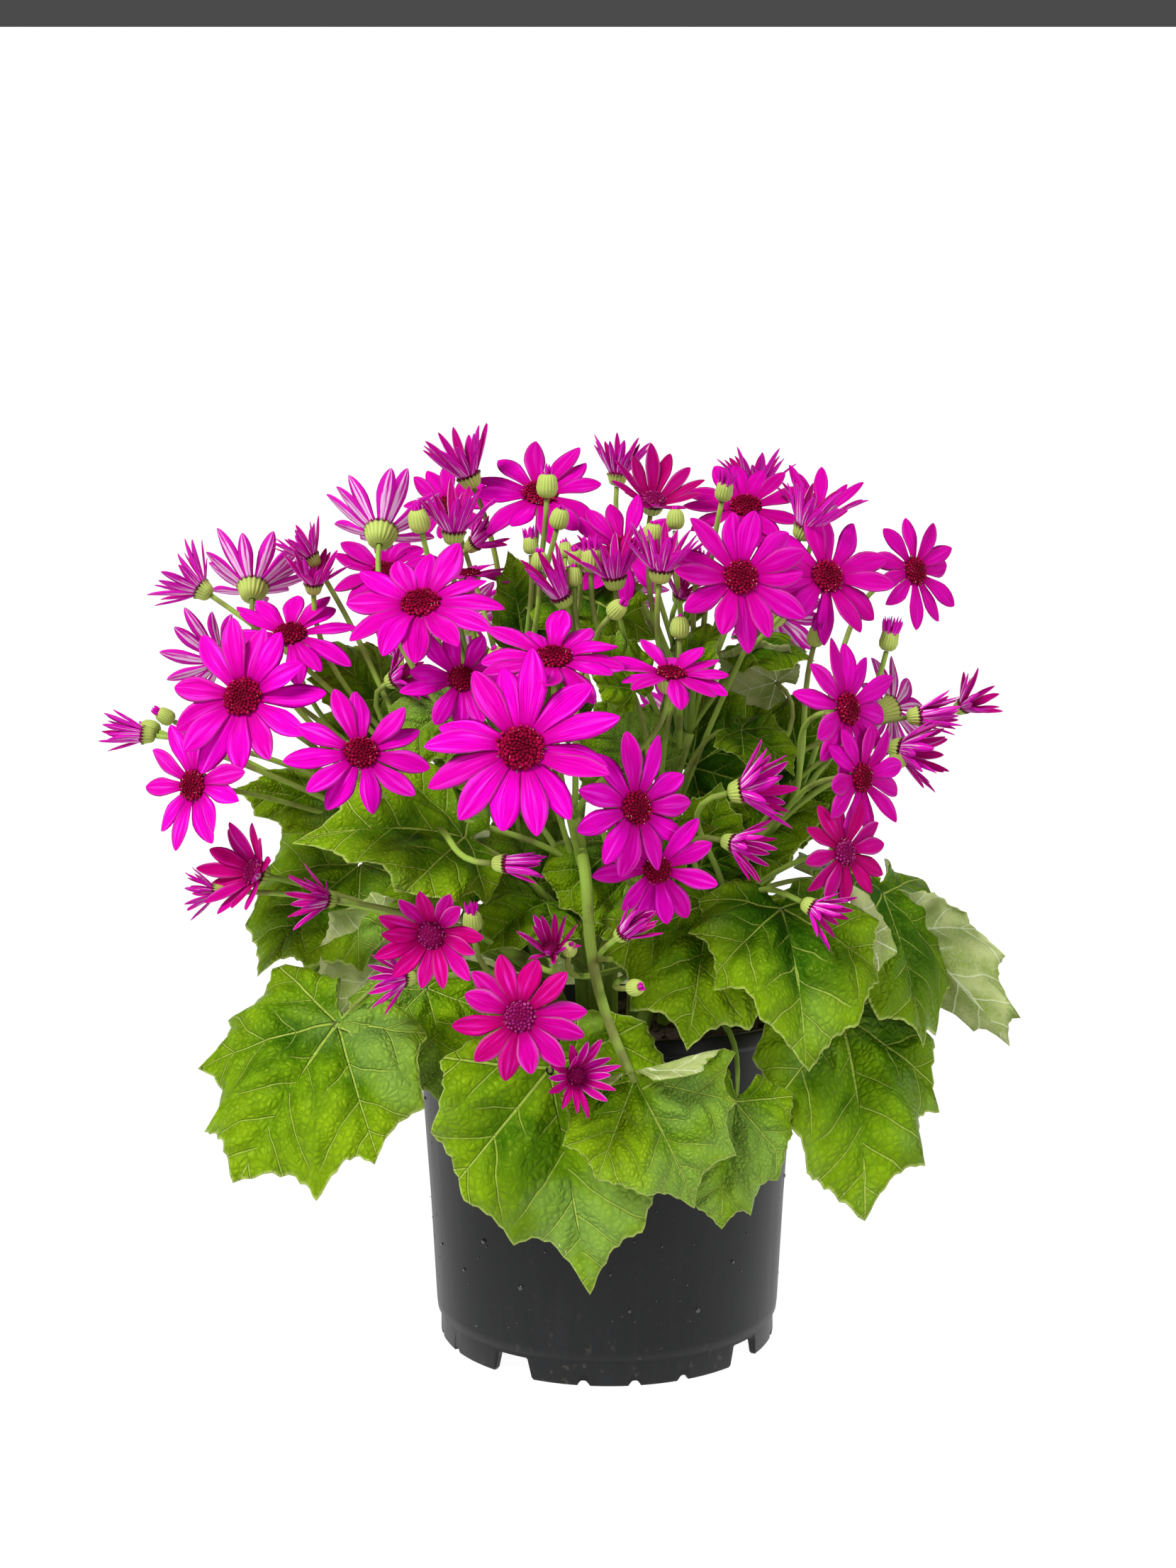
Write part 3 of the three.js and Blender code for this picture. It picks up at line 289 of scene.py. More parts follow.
# How steeply the petals of each kind of head rise, and their reach and the disc's radius as shares.
KINDS = {
    "open": {"rise": 8, "reach": 0.5, "disc": 0.235},
    "cupped": {"rise": 34, "reach": 0.6, "disc": 0.28},
    "spiky": {"rise": 52, "reach": 0.64, "disc": 0.28},
    "tuft": {"rise": 76, "reach": 0.8, "disc": 0.34},
}
CUP_HEIGHT = 9.0
CUP_RADIUS = 6.2
BRACTS = 18  # narrow leaves that make up a cup or the outside of a bud
BUD_LENGTH = 11.0
GOLDEN_ANGLE = 2.39996  # from one floret to the next
PARTING_ANGLE = math.radians(42)  # between a stalk and its leafy stem
LEAF_FOLD = 0.12  # how steeply a blade rises from its midrib
LEAF_SPAN = 2.4  # the size of a leaf's map, in lengths of its blade
FAR_OFF = 9.0  # further from a vein than any place on a leaf, in lengths of its blade
TRUNK_RADII = (3.6, 2.6)  # of a leafy stem, at its foot and at its fork
STALK_RADII = (1.35, 1.1)
LEAF_STALK_RADII = (1.7, 0.9)
FRONT_STALK_RADII = (2.7, 1.8)  # of the leaf stalk that shows in front of the plant
SOIL_TOP = 131.5
SOIL_RADIUS = 79.7
SOIL_DOME = 2.6  # how much higher the soil is in its middle
ROOT_DEPTH = 12.0
POT_HEIGHT = 139.0
POT_FLOOR = 10.5
WALL_LOW_RADIUS = 75.0
WALL_HIGH_RADIUS = 82.4
FOOT_RADIUS = 73.5
FOOT_GAPS = [-32, 50, 140, 228]  # the wide gaps of the foot ring, in degrees from the front
GAP_HEIGHT = 8.4
NOTCH_HEIGHT = 2.2
NOTCH_STEP = 16  # degrees from one notch of the foot ring to the next


# ---------------------------------------------------------------- looks and light

# The looks of petals: a second tone, the darker tone of the fine lines and of the painted shade, how much
# pale rim shows and how pale the painted highlight streaks are.
PETAL_LOOKS = {
    "petal_magenta": ((0.78, 0.001, 0.49), (0.38, 0.0005, 0.14), 0.08, 0.75),
    "petal_crimson": ((0.70, 0.001, 0.38), (0.25, 0.001, 0.05), 0.2, 0.4),
    "petal_young": ((0.70, 0.002, 0.42), (0.28, 0.001, 0.08), 0.8, 0.6),
}
YOUNG_PETAL = (0.56, 0.002, 0.22)
PALE_RIM = (0.9, 0.5, 0.84)
POLLEN = (0.80, 0.46, 0.40)

# The lights, in metres: place, target, share of the key light's power and size.
LAMPS = {
    "key_light": ((-0.9, -1.1, 1.5), (0, 0, 0.24), 1.0, 0.6),
    "side_light": ((1.3, -0.7, 0.9), (0, 0, 0.2), 0.3, 0.8),
    "low_light": ((-0.5, -1.4, 0.25), (0, 0, 0.3), 0.08, 0.9),
}


# ---------------------------------------------------------------- settings


def number_setting(name, description, default, **limits):
    """A number for a setting."""
    return FloatProperty(name=name, description=description, default=default, **limits)


def length_setting(name, description, default):
    """A length in millimetres."""
    return number_setting(name, description, default, min=0.0)


def colour_setting(name, description, default):
    """A colour for a material."""
    return FloatVectorProperty(
        name=name, description=description, default=default, size=3, subtype="COLOR", min=0.0, max=1.0
    )


class PotSettings(PropertyGroup):
    """Sizes and finish of the nursery pot and its peat."""

    rim_radius: length_setting("Rim Radius", "Outer radius of the rolled lip, in millimetres", 84.5)
    lip_height: length_setting("Lip Height", "Height of the lip's band, in millimetres", 7.0)
    collar_height: length_setting("Collar Height", "Height of the band below the lip, in millimetres", 20.0)
    wall: length_setting("Wall", "Thickness of the wall, in millimetres", 1.8)
    drops: IntProperty(name="Drops", description="Water drops on the wall", default=110, min=0)
    plastic: colour_setting("Plastic", "Colour of the pot", (0.006, 0.0065, 0.0075))
    peat: colour_setting("Peat", "Colour of the damp peat", (0.026, 0.014, 0.008))


class FlowerSettings(PropertyGroup):
    """Form and colours of the flower heads."""

    petal_thickness: length_setting("Petal Thickness", "Thickness of a petal's middle, in millimetres", 0.45)
    groove: length_setting("Groove", "Depth of the lengthwise grooves, in millimetres", 0.22)
    magenta: colour_setting("Magenta", "Upper side of an open petal", (0.82, 0.001, 0.56))
    crimson: colour_setting("Crimson", "Upper side of a young petal", (0.57, 0.001, 0.19))
    lilac: colour_setting("Lilac", "Pale underside of a petal", (0.95, 0.56, 0.90))
    stripe: colour_setting("Stripe", "Stripes of the underside", (0.68, 0.003, 0.46))
    burgundy: colour_setting("Burgundy", "Disc florets", (0.10, 0.001, 0.010))


class FoliageSettings(PropertyGroup):
    """Form and colours of leaves, stems and cups."""

    blade_thickness: length_setting("Blade Thickness", "Thickness of a leaf, in millimetres", 0.5)
    green: colour_setting("Green", "Upper side of a leaf", (0.156, 0.312, 0.004))
    deep_green: colour_setting("Deep Green", "Darker patches of a leaf", (0.020, 0.092, 0.001))
    vein: colour_setting("Vein", "Veins and margins", (0.36, 0.50, 0.07))
    felt: colour_setting("Felt", "Felted underside of a leaf", (0.54, 0.61, 0.25))
    stem: colour_setting("Stem", "Stems and stalks", (0.30, 0.46, 0.06))
    cup: colour_setting("Cup", "Bracts of cups and buds", (0.50, 0.62, 0.14))


class StudioSettings(PropertyGroup):
    """Camera and light."""

    camera_height: length_setting("Camera Height", "Height of the camera, in millimetres", 239.5)
    camera_distance: length_setting("Camera Distance", "Camera to the pot's axis, in millimetres", 665.0)
    camera_side: number_setting("Camera Side", "Sideways place of the camera, in millimetres", -8.4)
    lens: number_setting("Lens", "Focal length, in millimetres", 34.18, min=1.0)
    key: number_setting("Key Light", "Power of the key light, in watts", 37.5, min=0.0)
    surround: number_setting("Surround", "Strength of the light from all round", 0.07, min=0.0)


# ---------------------------------------------------------------- vectors and curves


RIGHT = np.array([1.0, 0, 0])
BACK = np.array([0, 1.0, 0])
UP = np.array([0, 0, 1.0])


def unit(vector):
    return vector / np.linalg.norm(vector)


def circle(count):
    """The angles of evenly spread points on a circle."""
    return np.arange(count) * 2 * math.pi / count


def around(side, over, angle):
    """The way at an angle from side towards over, or the ways at a row of angles."""
    angle = np.asarray(angle, float)[..., None]
    return np.cos(angle) * side + np.sin(angle) * over


def heading(degrees):
    """Cosine and sine of an angle in degrees."""
    return math.cos(math.radians(degrees)), math.sin(math.radians(degrees))


def facing(face):
    """The way a head or leaf looks: yaw 0 is the front, 90 the right, pitch is up."""
    yaw, pitch = np.radians(face)
    return around(around(-BACK, RIGHT, yaw), UP, pitch)


def across(direction):
    """Two unit vectors across a direction, the first one level."""
    side = RIGHT if abs(direction[2]) > 0.99 else unit(np.cross(UP, direction))
    return side, unit(np.cross(direction, side))


def stance(at, face):
    """The middle of a head or bud, the way it looks, and two ways across that."""
    out = facing(face)
    return np.array(at, float), out, *across(out)


def dice(seed):
    """Seeded random numbers, the same ones as the solids' petals are drawn with."""
    mask = 0xFFFFFFFF
    state = (seed * 2654435761) & mask
    while True:
        state = (state + 0x6D2B79F5) & mask
        t = ((state ^ (state >> 15)) * (1 | state)) & mask
        t = (((t + (((t ^ (t >> 7)) * (61 | t)) & mask)) & mask) ^ t) & mask
        yield (t ^ (t >> 14)) / 4294967296


class Curve:
    """A cubic curve, measured along its length from 0 to 1."""

    def __init__(self, a, b, c, d):
        t = np.linspace(0, 1, 201)[:, None]
        self.points = (1 - t) ** 3 * a + 3 * (1 - t) ** 2 * t * b + 3 * (1 - t) * t**2 * c + t**3 * d
        steps = np.linalg.norm(np.diff(self.points, axis=0), axis=1)
        self.share = np.concatenate([[0], np.cumsum(steps)]) / steps.sum()
        self.length = steps.sum()

    def at(self, share):
        return np.stack([np.interp(share, self.share, self.points[:, k]) for k in range(3)], axis=-1)

    def way(self, share):
        low, high = np.clip(np.asarray(share) - 0.005, 0, 1), np.clip(np.asarray(share) + 0.005, 0, 1)
        step = self.at(high) - self.at(low)
        return step / np.linalg.norm(step, axis=-1, keepdims=True)


def trunk_curve(stem):
    """The middle line of a leafy stem, from under the soil to its fork."""
    (x, y), fork = LEAFY_STEMS[stem]
    foot, top = np.array([x, y, SOIL_TOP - ROOT_DEPTH]), np.array(fork, float)
    reach = np.linalg.norm(top - foot)
    lower = foot + 0.45 * reach * UP
    upper = top - 0.3 * reach * unit(top - lower)
    return Curve(foot, lower, upper, top)


def stalk_curve(trunk, start_share, end, arrival, bend=0.38):
    """A stalk that leaves the trunk and reaches its end from behind, along the end's own way."""
    start = trunk.at(start_share)
    straight = end - start
    reach = np.linalg.norm(straight)
    off = unit(0.35 * trunk.way(start_share) + 0.65 * straight / reach)
    return Curve(start, start + bend * reach * off, end - bend * reach * arrival, end)


def parting_point(trunk, end):
    """How far up its trunk a stalk parts from it."""

    def miss(share):
        way = unit(end - trunk.at(share))
        return abs(math.acos(np.clip(way @ trunk.way(share), -1, 1)) - PARTING_ANGLE)

    return min((0.45 + 0.05 * i for i in range(12)), key=miss)


def cup_scale(size):
    return float(np.clip(size / 58, 0.55, 1.1))


def of_stem(items, stem):
    return [item for item in items if item["stem"] == stem]


# ---------------------------------------------------------------- meshes


class Surface:
    """Gathers rings of points, joined by quads, into one mesh."""

    def __init__(self):
        self.points, self.quads, self.looks, self.maps, self.seconds = [], [], [], [], []
        self.count = 0

    def patch(self, points, look=0, place=None, second=(0.0, 0.0)):
        """Adds rows of points, each closed to a ring, as quads.

        look is a material number, or an array of them that spreads over rows and columns of faces;
        place and second are the two maps, with one more column than the points, where a ring closes.
        """
        rows, columns = points.shape[:2]
        r, c = np.meshgrid(np.arange(rows - 1), np.arange(columns), indexing="ij")
        n = (c + 1) % columns
        corners = [r * columns + c, r * columns + n, (r + 1) * columns + n, (r + 1) * columns + c]
        self.quads.append(np.stack(corners, -1).reshape(-1, 4) + self.count)
        self.looks.append(np.broadcast_to(look, (rows - 1, columns)).reshape(-1))
        if place is None:
            place = lattice(np.linspace(0, 1, columns + 1), np.linspace(0, 1, rows))
        for maps, values in ((self.maps, place), (self.seconds, second)):
            maps.append(corner_map(np.broadcast_to(values, (rows, columns + 1, 2)), r, c))
        self.points.append(points.reshape(-1, 3))
        self.count += rows * columns

    def tube(self, rings, look, across_map, along_map, second=(0.0, 0.0)):
        """Adds a closed body through rings of points, with each end drawn to its middle."""
        first, last = (ring.mean(0) + (ring - ring.mean(0)) * 0.001 for ring in (rings[0], rings[-1]))
        rings = np.concatenate([first[None], rings, last[None]])
        along_map = np.concatenate([along_map[:1], along_map, along_map[-1:]])
        self.patch(rings, look, lattice(across_map, along_map), second=second)


def lattice(across_values, along_values):
    """A map for a grid: one number for each column, one for each row."""
    grid = np.zeros((len(along_values), len(across_values), 2))
    grid[..., 0] = across_values
    grid[..., 1] = np.asarray(along_values)[:, None]
    return grid


def corner_map(grid, r, c):
    """The map's place at each corner of the faces of a grid."""
    corners = [grid[r, c], grid[r, c + 1], grid[r + 1, c + 1], grid[r + 1, c]]
    return np.stack(corners, -2).reshape(-1, 2)


def turned(centre, ring, out, profile):
    """Rings of points, one for each radius and height of a profile."""
    return np.stack([centre + ring * radius + out * height for radius, height in profile])


def ball(count, levels, flatness=1.0):
    """Rings of points on a ball of radius 1, one for each level from -1 to 1."""
    levels = np.array(levels)[:, None]
    angles, flat = circle(count), np.sqrt(1 - levels**2)
    return np.stack([np.cos(angles) * flat, np.sin(angles) * flat, levels * flatness + 0 * angles], -1)


def make_object(name, surface, materials, node):
    """Makes the surface an object in metres that rides on the root and stands for a node."""
    mesh = bpy.data.meshes.new(name)
    points = np.concatenate(surface.points) / 1000 + AXIS
    quads = np.concatenate(surface.quads)
    mesh.vertices.add(len(points))
    mesh.vertices.foreach_set("co", points.ravel())
    mesh.loops.add(quads.size)
    mesh.loops.foreach_set("vertex_index", quads.ravel().astype(np.int32))
    mesh.polygons.add(len(quads))
    mesh.polygons.foreach_set("loop_start", np.arange(0, quads.size, 4, dtype=np.int32))
    mesh.polygons.foreach_set("material_index", np.concatenate(surface.looks).astype(np.int32))
    for label, maps in (("along", surface.maps), ("second", surface.seconds)):
        layer = mesh.uv_layers.new(name=label)
        layer.uv.foreach_set("vector", np.concatenate(maps).ravel())
    mesh.update(calc_edges=True)
    mesh.validate()
    mesh.polygons.foreach_set("use_smooth", np.ones(len(mesh.polygons), bool))
    for material in materials:
        mesh.materials.append(material)
    piece = bpy.data.objects.new(name, mesh)
    bpy.context.scene.collection.objects.link(piece)
    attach(piece, "root")
    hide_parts(node)


# ---------------------------------------------------------------- materials


class Wire:
    """A socket of a shader's nodes that takes part in sums."""

    def __init__(self, shader, socket):
        self.shader, self.socket = shader, socket

    def __add__(self, other):
        return self.shader.maths("ADD", self, other)

    def __sub__(self, other):
        return self.shader.maths("SUBTRACT", self, other)

    def __mul__(self, other):
        return self.shader.maths("MULTIPLY", self, other)

    def __truediv__(self, other):
        return self.shader.maths("DIVIDE", self, other)

    def __rsub__(self, other):
        return self.shader.maths("SUBTRACT", other, self)

    def __abs__(self):
        return self.shader.maths("ABSOLUTE", self)

    __radd__ = __add__
    __rmul__ = __mul__


class Shader:
    """The node tree of a new material."""

    def __init__(self, name):
        self.material = bpy.data.materials.new(name)
        self.material.use_nodes = True
        self.tree = self.material.node_tree
        self.tree.nodes.clear()

    def make(self, kind, settings=None, sockets=None, output=0):
        """Makes a node of a type with its settings, fills its sockets and returns one output."""
        node = self.tree.nodes.new(kind)
        for key, value in (settings or {}).items():
            if key == "stops":
                self.stops(node.color_ramp, value)
            else:
                setattr(node, key, value)
        for key, value in (sockets or {}).items():
            self.fill(node.inputs[key], value)
        return Wire(self, node.outputs[output]) if len(node.outputs) else None

    def fill(self, socket, value):
        if isinstance(value, Wire):
            self.tree.links.new(value.socket, socket)
        elif socket.type == "RGBA":
            socket.default_value = (*value[:3], 1.0)
        else:
            socket.default_value = value

    def stops(self, ramp, stops):
        while len(ramp.elements) < len(stops):
            ramp.elements.new(0.5)
        for element, (place, tone) in zip(ramp.elements, stops):
            element.position = place
            element.color = (*tone, 1.0)

    def maths(self, operation, *values):
        return self.make("ShaderNodeMath", {"operation": operation}, dict(enumerate(values)))

    def wave(self, turns):
        """1 at each whole turn, 0 half way between."""
        return self.maths("COSINE", turns * (2 * math.pi)) * 0.5 + 0.5

    def mix(self, amount, first, second):
        """A colour between two colours."""
        return self.make("ShaderNodeMix", {"data_type": "RGBA"}, {0: amount, 6: first, 7: second}, 2)

    def step(self, value, low, high):
        """0 below low, 1 above high, and smooth between."""
        settings = {"interpolation_type": "SMOOTHSTEP"}
        return self.make("ShaderNodeMapRange", settings, {"Value": value, "From Min": low, "From Max": high})

    def places(self):
        """Places in the object, in metres."""
        return self.make("ShaderNodeTexCoord", output=3)

    def point(self, x, y, z):
        """A place made of three numbers."""
        return self.make("ShaderNodeCombineXYZ", sockets={0: x, 1: y, 2: z})

    def map(self, name):
        """The two numbers of a mesh map, as wires."""
        place = self.make("ShaderNodeUVMap", {"uv_map": name})
        first = self.make("ShaderNodeSeparateXYZ", sockets={0: place})
        return first, Wire(self, first.socket.node.outputs[1])

    def noise(self, vector, scale, detail=3.0, roughness=0.5):
        sockets = {"Vector": vector, "Scale": scale, "Detail": detail, "Roughness": roughness}
        return self.make("ShaderNodeTexNoise", sockets=sockets)

    def cells(self, vector, scale, feature="F1"):
        return self.make("ShaderNodeTexVoronoi", {"feature": feature}, {"Vector": vector, "Scale": scale})

    def bump(self, height, distance, strength):
        sockets = {"Height": height, "Distance": distance, "Strength": strength}
        return self.make("ShaderNodeBump", sockets=sockets)

    def finish(self, colour, roughness, normal=None, **constants):
        """Ends the tree in a Principled shader; constants are its other sockets by name."""
        sockets = {"Base Color": colour, "Roughness": roughness}
        if normal is not None:
            sockets["Normal"] = normal
        names = {key: key.replace("_", " ").title().replace("Ior", "IOR") for key in constants}
        sockets.update({names[key]: value for key, value in constants.items()})
        surface = self.make("ShaderNodeBsdfPrincipled", sockets=sockets)
        self.make("ShaderNodeOutputMaterial", sockets={"Surface": surface})
        return self.material


def petal_material(name, tone):
    """The upper side of a petal: fine lengthwise lines, paler streaks, deeper by the disc.

    A petal's own colour lies between tone and other. Its paler streaks are painted highlight, its deeper
    tone by the disc is partly its own colour and partly painted shade where petals overlap, and whole heads
    get painted shade from their place, deeper on the right and further back.
    """
    other, deep, rim, sheen = PETAL_LOOKS[name]
    s = Shader(name)
    u, v = s.map("along")
    draw, shade = s.map("second")
    lines = s.noise(s.point(u * 26 + draw * 90, v * 1.6, draw * 37), 1.0, 2.0)
    ridges = 1 - s.wave(u * 3)
    broad = s.noise(s.point(u * 5 + draw * 50, v * 1.2, draw * 11), 1.0, 1.0)
    # painted highlight: pale pink streaks along the ridges and in broad patches, fainter on heads with more
    # painted shade
    glow = s.step(ridges * 0.16 + lines * 0.5 + broad * 0.9, 0.78, 1.06) * s.step(v, 0.05, 0.35)
    own = s.mix(s.step(draw, 0.4, 0.9), tone, other)
    light = s.mix(glow * sheen * (1 - shade * 0.5), own, (0.97, 0.06, 0.93))
    veined = s.mix((1 - s.step(lines, 0.30, 0.50)) * 0.75, light, deep)
    # deeper by the disc: partly the petal's own colour, partly painted shade where the petals overlap
    base = s.mix((1 - s.step(v, 0.0, 0.45)) * 0.75, veined, deep)
    # painted shade from the head's place, plus a random tone for each petal
    varied = s.mix(shade * 0.42 + draw * 0.3, base, deep)
    middle = 1 - abs(u - 0.5) * 2
    pale_edge = (1 - s.step(middle, 0.06, 0.28)) * s.step(v, 0.1, 0.4) * s.step(draw, 0.15, 0.6)
    rimmed = s.mix(pale_edge * rim, varied, PALE_RIM)
    height = lines * 0.5 + s.noise(s.places(), 900.0, 2.0) * 0.3
    normal = s.bump(height, 0.0003, 0.6)
    tint = (1.0, 0.04, 0.7, 1.0)
    return s.finish(rimmed, 0.5 + lines * 0.12, normal, specular_ior_level=0.1, specular_tint=tint)


def underside_material(name, settings, darkness):
    """The lower side of a petal: lilac white with purple stripes that close up towards the tip."""
    s = Shader(name)
    u, v = s.map("along")
    draw, _ = s.map("second")
    wander = s.noise(s.point(u * 3, v * 3, draw * 50), 1.0, 2.0)
    stripes = s.wave(u * 3 + wander * 0.6366)
    fine = s.noise(s.point(u * 30, v * 1.5, draw * 60), 1.0, 2.0)
    middle = 1 - abs(u - 0.5) * 2
    edges = 1 - s.step(middle, 0.15, 0.7)
    towards_tip = s.step(v, 0.1, 1.0) * 0.15
    cover = s.step(edges * 0.6 + stripes * 0.22 + fine * 0.5 + towards_tip + darkness, 0.56, 0.72)
    colour = s.mix(cover, settings.lilac, settings.stripe)
    normal = s.bump(stripes + s.noise(s.places(), 800.0) * 0.4, 0.0002, 0.5)
    return s.finish(colour, 0.6, normal, specular_ior_level=0.15)


def floret_material(name, stops):
    """Disc florets, darker in the middle of the disc and below, brighter at their lips."""
    s = Shader(name)
    u, v = s.map("along")
    tone = s.make("ShaderNodeValToRGB", {"stops": stops}, {0: v * 0.72 + u * 0.3})
    return s.finish(tone, 0.62, specular_ior_level=0.12, specular_tint=(1.0, 0.3, 0.4, 1.0))


def pollen_material(name, tone):
    """Grains of one colour that varies a little from place to place."""
    s = Shader(name)
    varied = s.noise(s.places(), 400.0)
    dark, pale = (tuple(min(1.0, c * share) for c in tone) for share in (0.75, 1.25))
    colour = s.mix(s.step(varied, 0.3, 0.7), dark, pale)
    return s.finish(colour, 0.8, s.bump(varied, 0.0002, 0.4))


def stem_material(name, settings):
    """Ribbed green stems with a bloom of fine hairs and a flush of brown purple."""
    s = Shader(name)
    u, v = s.map("along")
    place = s.places()
    ribs = s.wave(u * 10)
    patches = s.noise(place, 55.0, 3.0)
    green = s.mix(ribs * 0.4, settings.stem, (0.36, 0.50, 0.09))
    flushed = s.mix(s.step(patches + v * 0.18, 0.60, 0.76) * 0.55, green, (0.13, 0.06, 0.04))
    hairs = s.noise(place, 2600.0, 2.0)
    colour = s.mix(s.step(hairs, 0.62, 0.80) * 0.25, flushed, (0.55, 0.65, 0.35))
    normal = s.bump(ribs * 0.6 + hairs * 0.5, 0.00018, 0.6)
    return s.finish(colour, 0.55, normal, specular_ior_level=0.25)


def cup_material(name, settings):
    """Bracts of a cup or bud: pale green ribs, darker seams and purple brown tips."""
    s = Shader(name)
    u, v = s.map("along")
    seam = s.wave(u * BRACTS)
    green = s.mix(s.step(seam, 0.05, 0.4), (0.38, 0.48, 0.09), settings.cup)
    shaded = s.mix((1 - s.step(v, 0.0, 0.5)) * 0.35, green, (0.22, 0.25, 0.03))
    tip = s.step(v, 0.9, 0.99)
    colour = s.mix(tip * 0.8, shaded, (0.10, 0.02, 0.04))
    normal = s.bump(seam + s.noise(s.places(), 1500.0) * 0.3, 0.0002, 0.6)
    return s.finish(colour, 0.55, normal, specular_ior_level=0.2)


LEAF_VEINS = [0.0, 50.0, 106.0]  # angles of the main veins from the midrib, alike on both sides


def vein_pattern(s):
    """Wires for a leaf's pattern, each from 0 to 1.

    They are its main veins, side veins and the net of small ones, the distance from the net, the swelling
    between side veins, how near the margin a place is, and the leaf's draw: partly its own random tone,
    partly painted light and shade from its place in the plant.
    """
    u, v = s.map("along")
    margin, draw = s.map("second")
    wobble = s.noise(s.point(u * 7, v * 7, draw * 90), 1.0, 2.0) * 0.05 - 0.025
    x = (u - 0.5) * LEAF_SPAN + wobble
    y = abs((v - 0.5) * LEAF_SPAN) + wobble

    def measure(angle):
        """How far along a vein a place is, and how far off it."""
        cosine, sine = heading(angle)
        along = x * cosine + y * sine
        return along, abs(y * cosine - x * sine) + s.maths("LESS_THAN", along, 0.0) * FAR_OFF

    best_along, nearest = measure(LEAF_VEINS[0])
    second = nearest + FAR_OFF
    for angle in LEAF_VEINS[1:]:
        along, off = measure(angle)
        closer = s.maths("LESS_THAN", off, nearest)
        best_along = best_along + (along - best_along) * closer
        second = s.maths("MINIMUM", second, s.maths("MAXIMUM", off, nearest))
        nearest = s.maths("MINIMUM", nearest, off)
    taper = 0.010 - s.maths("MINIMUM", best_along, 1.0) * 0.007
    main_veins = 1 - s.step(nearest / s.maths("MAXIMUM", taper, 0.003), 0.55, 1.3)
    half = s.maths("GREATER_THAN", v, 0.5) * 0.37
    sweep = best_along - nearest * 0.95 + nearest * nearest * 0.6
    line = abs(s.maths("FRACT", sweep * 5.2 + wobble * 9 + half) - 0.5)
    side = (1 - s.step(line, 0.02, 0.055)) * s.step(second - nearest, 0.02, 0.12)
    swell = s.step(line, 0.0, 0.4) * s.step(nearest, 0.0, 0.07)
    net_edge = s.cells(s.point(x + wobble, v * LEAF_SPAN, draw * 9), 27.0, "DISTANCE_TO_EDGE")
    net = 1 - s.step(net_edge, 0.02, 0.09)
    return main_veins, side, net, net_edge, swell, margin, draw


def leaf_material(name, settings):
    """The upper side of a leaf: green with yellow green veins and a pale margin, painted shade in the
    recesses of the blade, and painted light and a painted sheen on leaves towards the key light.
    """
    s = Shader(name)
    main_veins, side, net, net_edge, swell, margin, draw = vein_pattern(s)
    place = s.places()
    patches = s.noise(place, 30.0, 4.0)
    # painted light and shade: leaves with a higher draw lean to the paler green, besides random patches of
    # deep green
    green = s.mix(s.step(patches + draw * 0.5 - 0.2, 0.40, 0.62), settings.deep_green, settings.green)
    # partly painted light: leaves with a higher draw get yellow green patches
    fresh_and_lit = s.mix(s.step(draw, 0.35, 0.9) * s.step(patches, 0.4, 0.6) * 0.8, green, (0.26, 0.43, 0.005))
    blotched = s.mix(s.step(s.noise(place, 95.0, 3.0), 0.45, 0.68) * 0.5, fresh_and_lit, settings.deep_green)
    # painted shade in the recesses: darker near the net of small veins and away from the swellings between
    # side veins
    hollow_shade = (1 - s.step(net_edge, 0.0, 0.3)) * 0.2 + (1 - swell) * 0.3
    hollow_shaded = s.mix(hollow_shade, blotched, settings.deep_green)
    edged = s.mix(s.step(margin, 0.45, 1.0) * 0.4, hollow_shaded, (0.28, 0.43, 0.006))
    # painted sheen: a pale wax-like cast in large patches, only on leaves with a higher draw, towards the
    # key light
    bloom = s.step(s.noise(place, 22.0, 3.0), 0.48, 0.64) * s.step(draw, 0.2, 0.6)
    painted_sheen = s.mix(bloom * 0.5, edged, (0.23, 0.38, 0.09))
    veined = s.mix(net * 0.2, painted_sheen, settings.deep_green)
    veined = s.mix(side * 0.55, veined, settings.vein)
    veined = s.mix(main_veins * 0.8, veined, settings.vein)
    colour = s.mix(s.step(margin, 0.98, 0.995) * 0.7, veined, (0.46, 0.56, 0.14))
    pimples = s.noise(place, 700.0) * 0.15
    height = swell * 1.1 + s.step(net_edge, 0.0, 0.35) * 0.3 - side * 0.7 - main_veins + pimples
    normal = s.bump(height, 0.0015, 0.9)
    tint = (0.8, 1.0, 0.1, 1.0)
    return s.finish(colour, 0.4 + patches * 0.1, normal, specular_ior_level=0.3, specular_tint=tint)


def felt_material(name, settings):
    """The lower side of a leaf: grey green felt with standing pale veins."""
    s = Shader(name)
    main_veins, side, net, _, swell, _, _ = vein_pattern(s)
    place = s.places()
    felt = s.mix(s.step(s.noise(place, 45.0, 4.0), 0.38, 0.62), settings.felt, (0.28, 0.37, 0.08))
    veined = s.mix(main_veins * 0.8 + side * 0.65 + net * 0.2, felt, (0.74, 0.80, 0.50))
    height = main_veins + side * 0.6 - swell * 0.6 + net * 0.25 + s.noise(place, 2500.0, 2.0) * 0.3
    return s.finish(veined, 0.75, s.bump(height, 0.0008, 0.6), specular_ior_level=0.15)


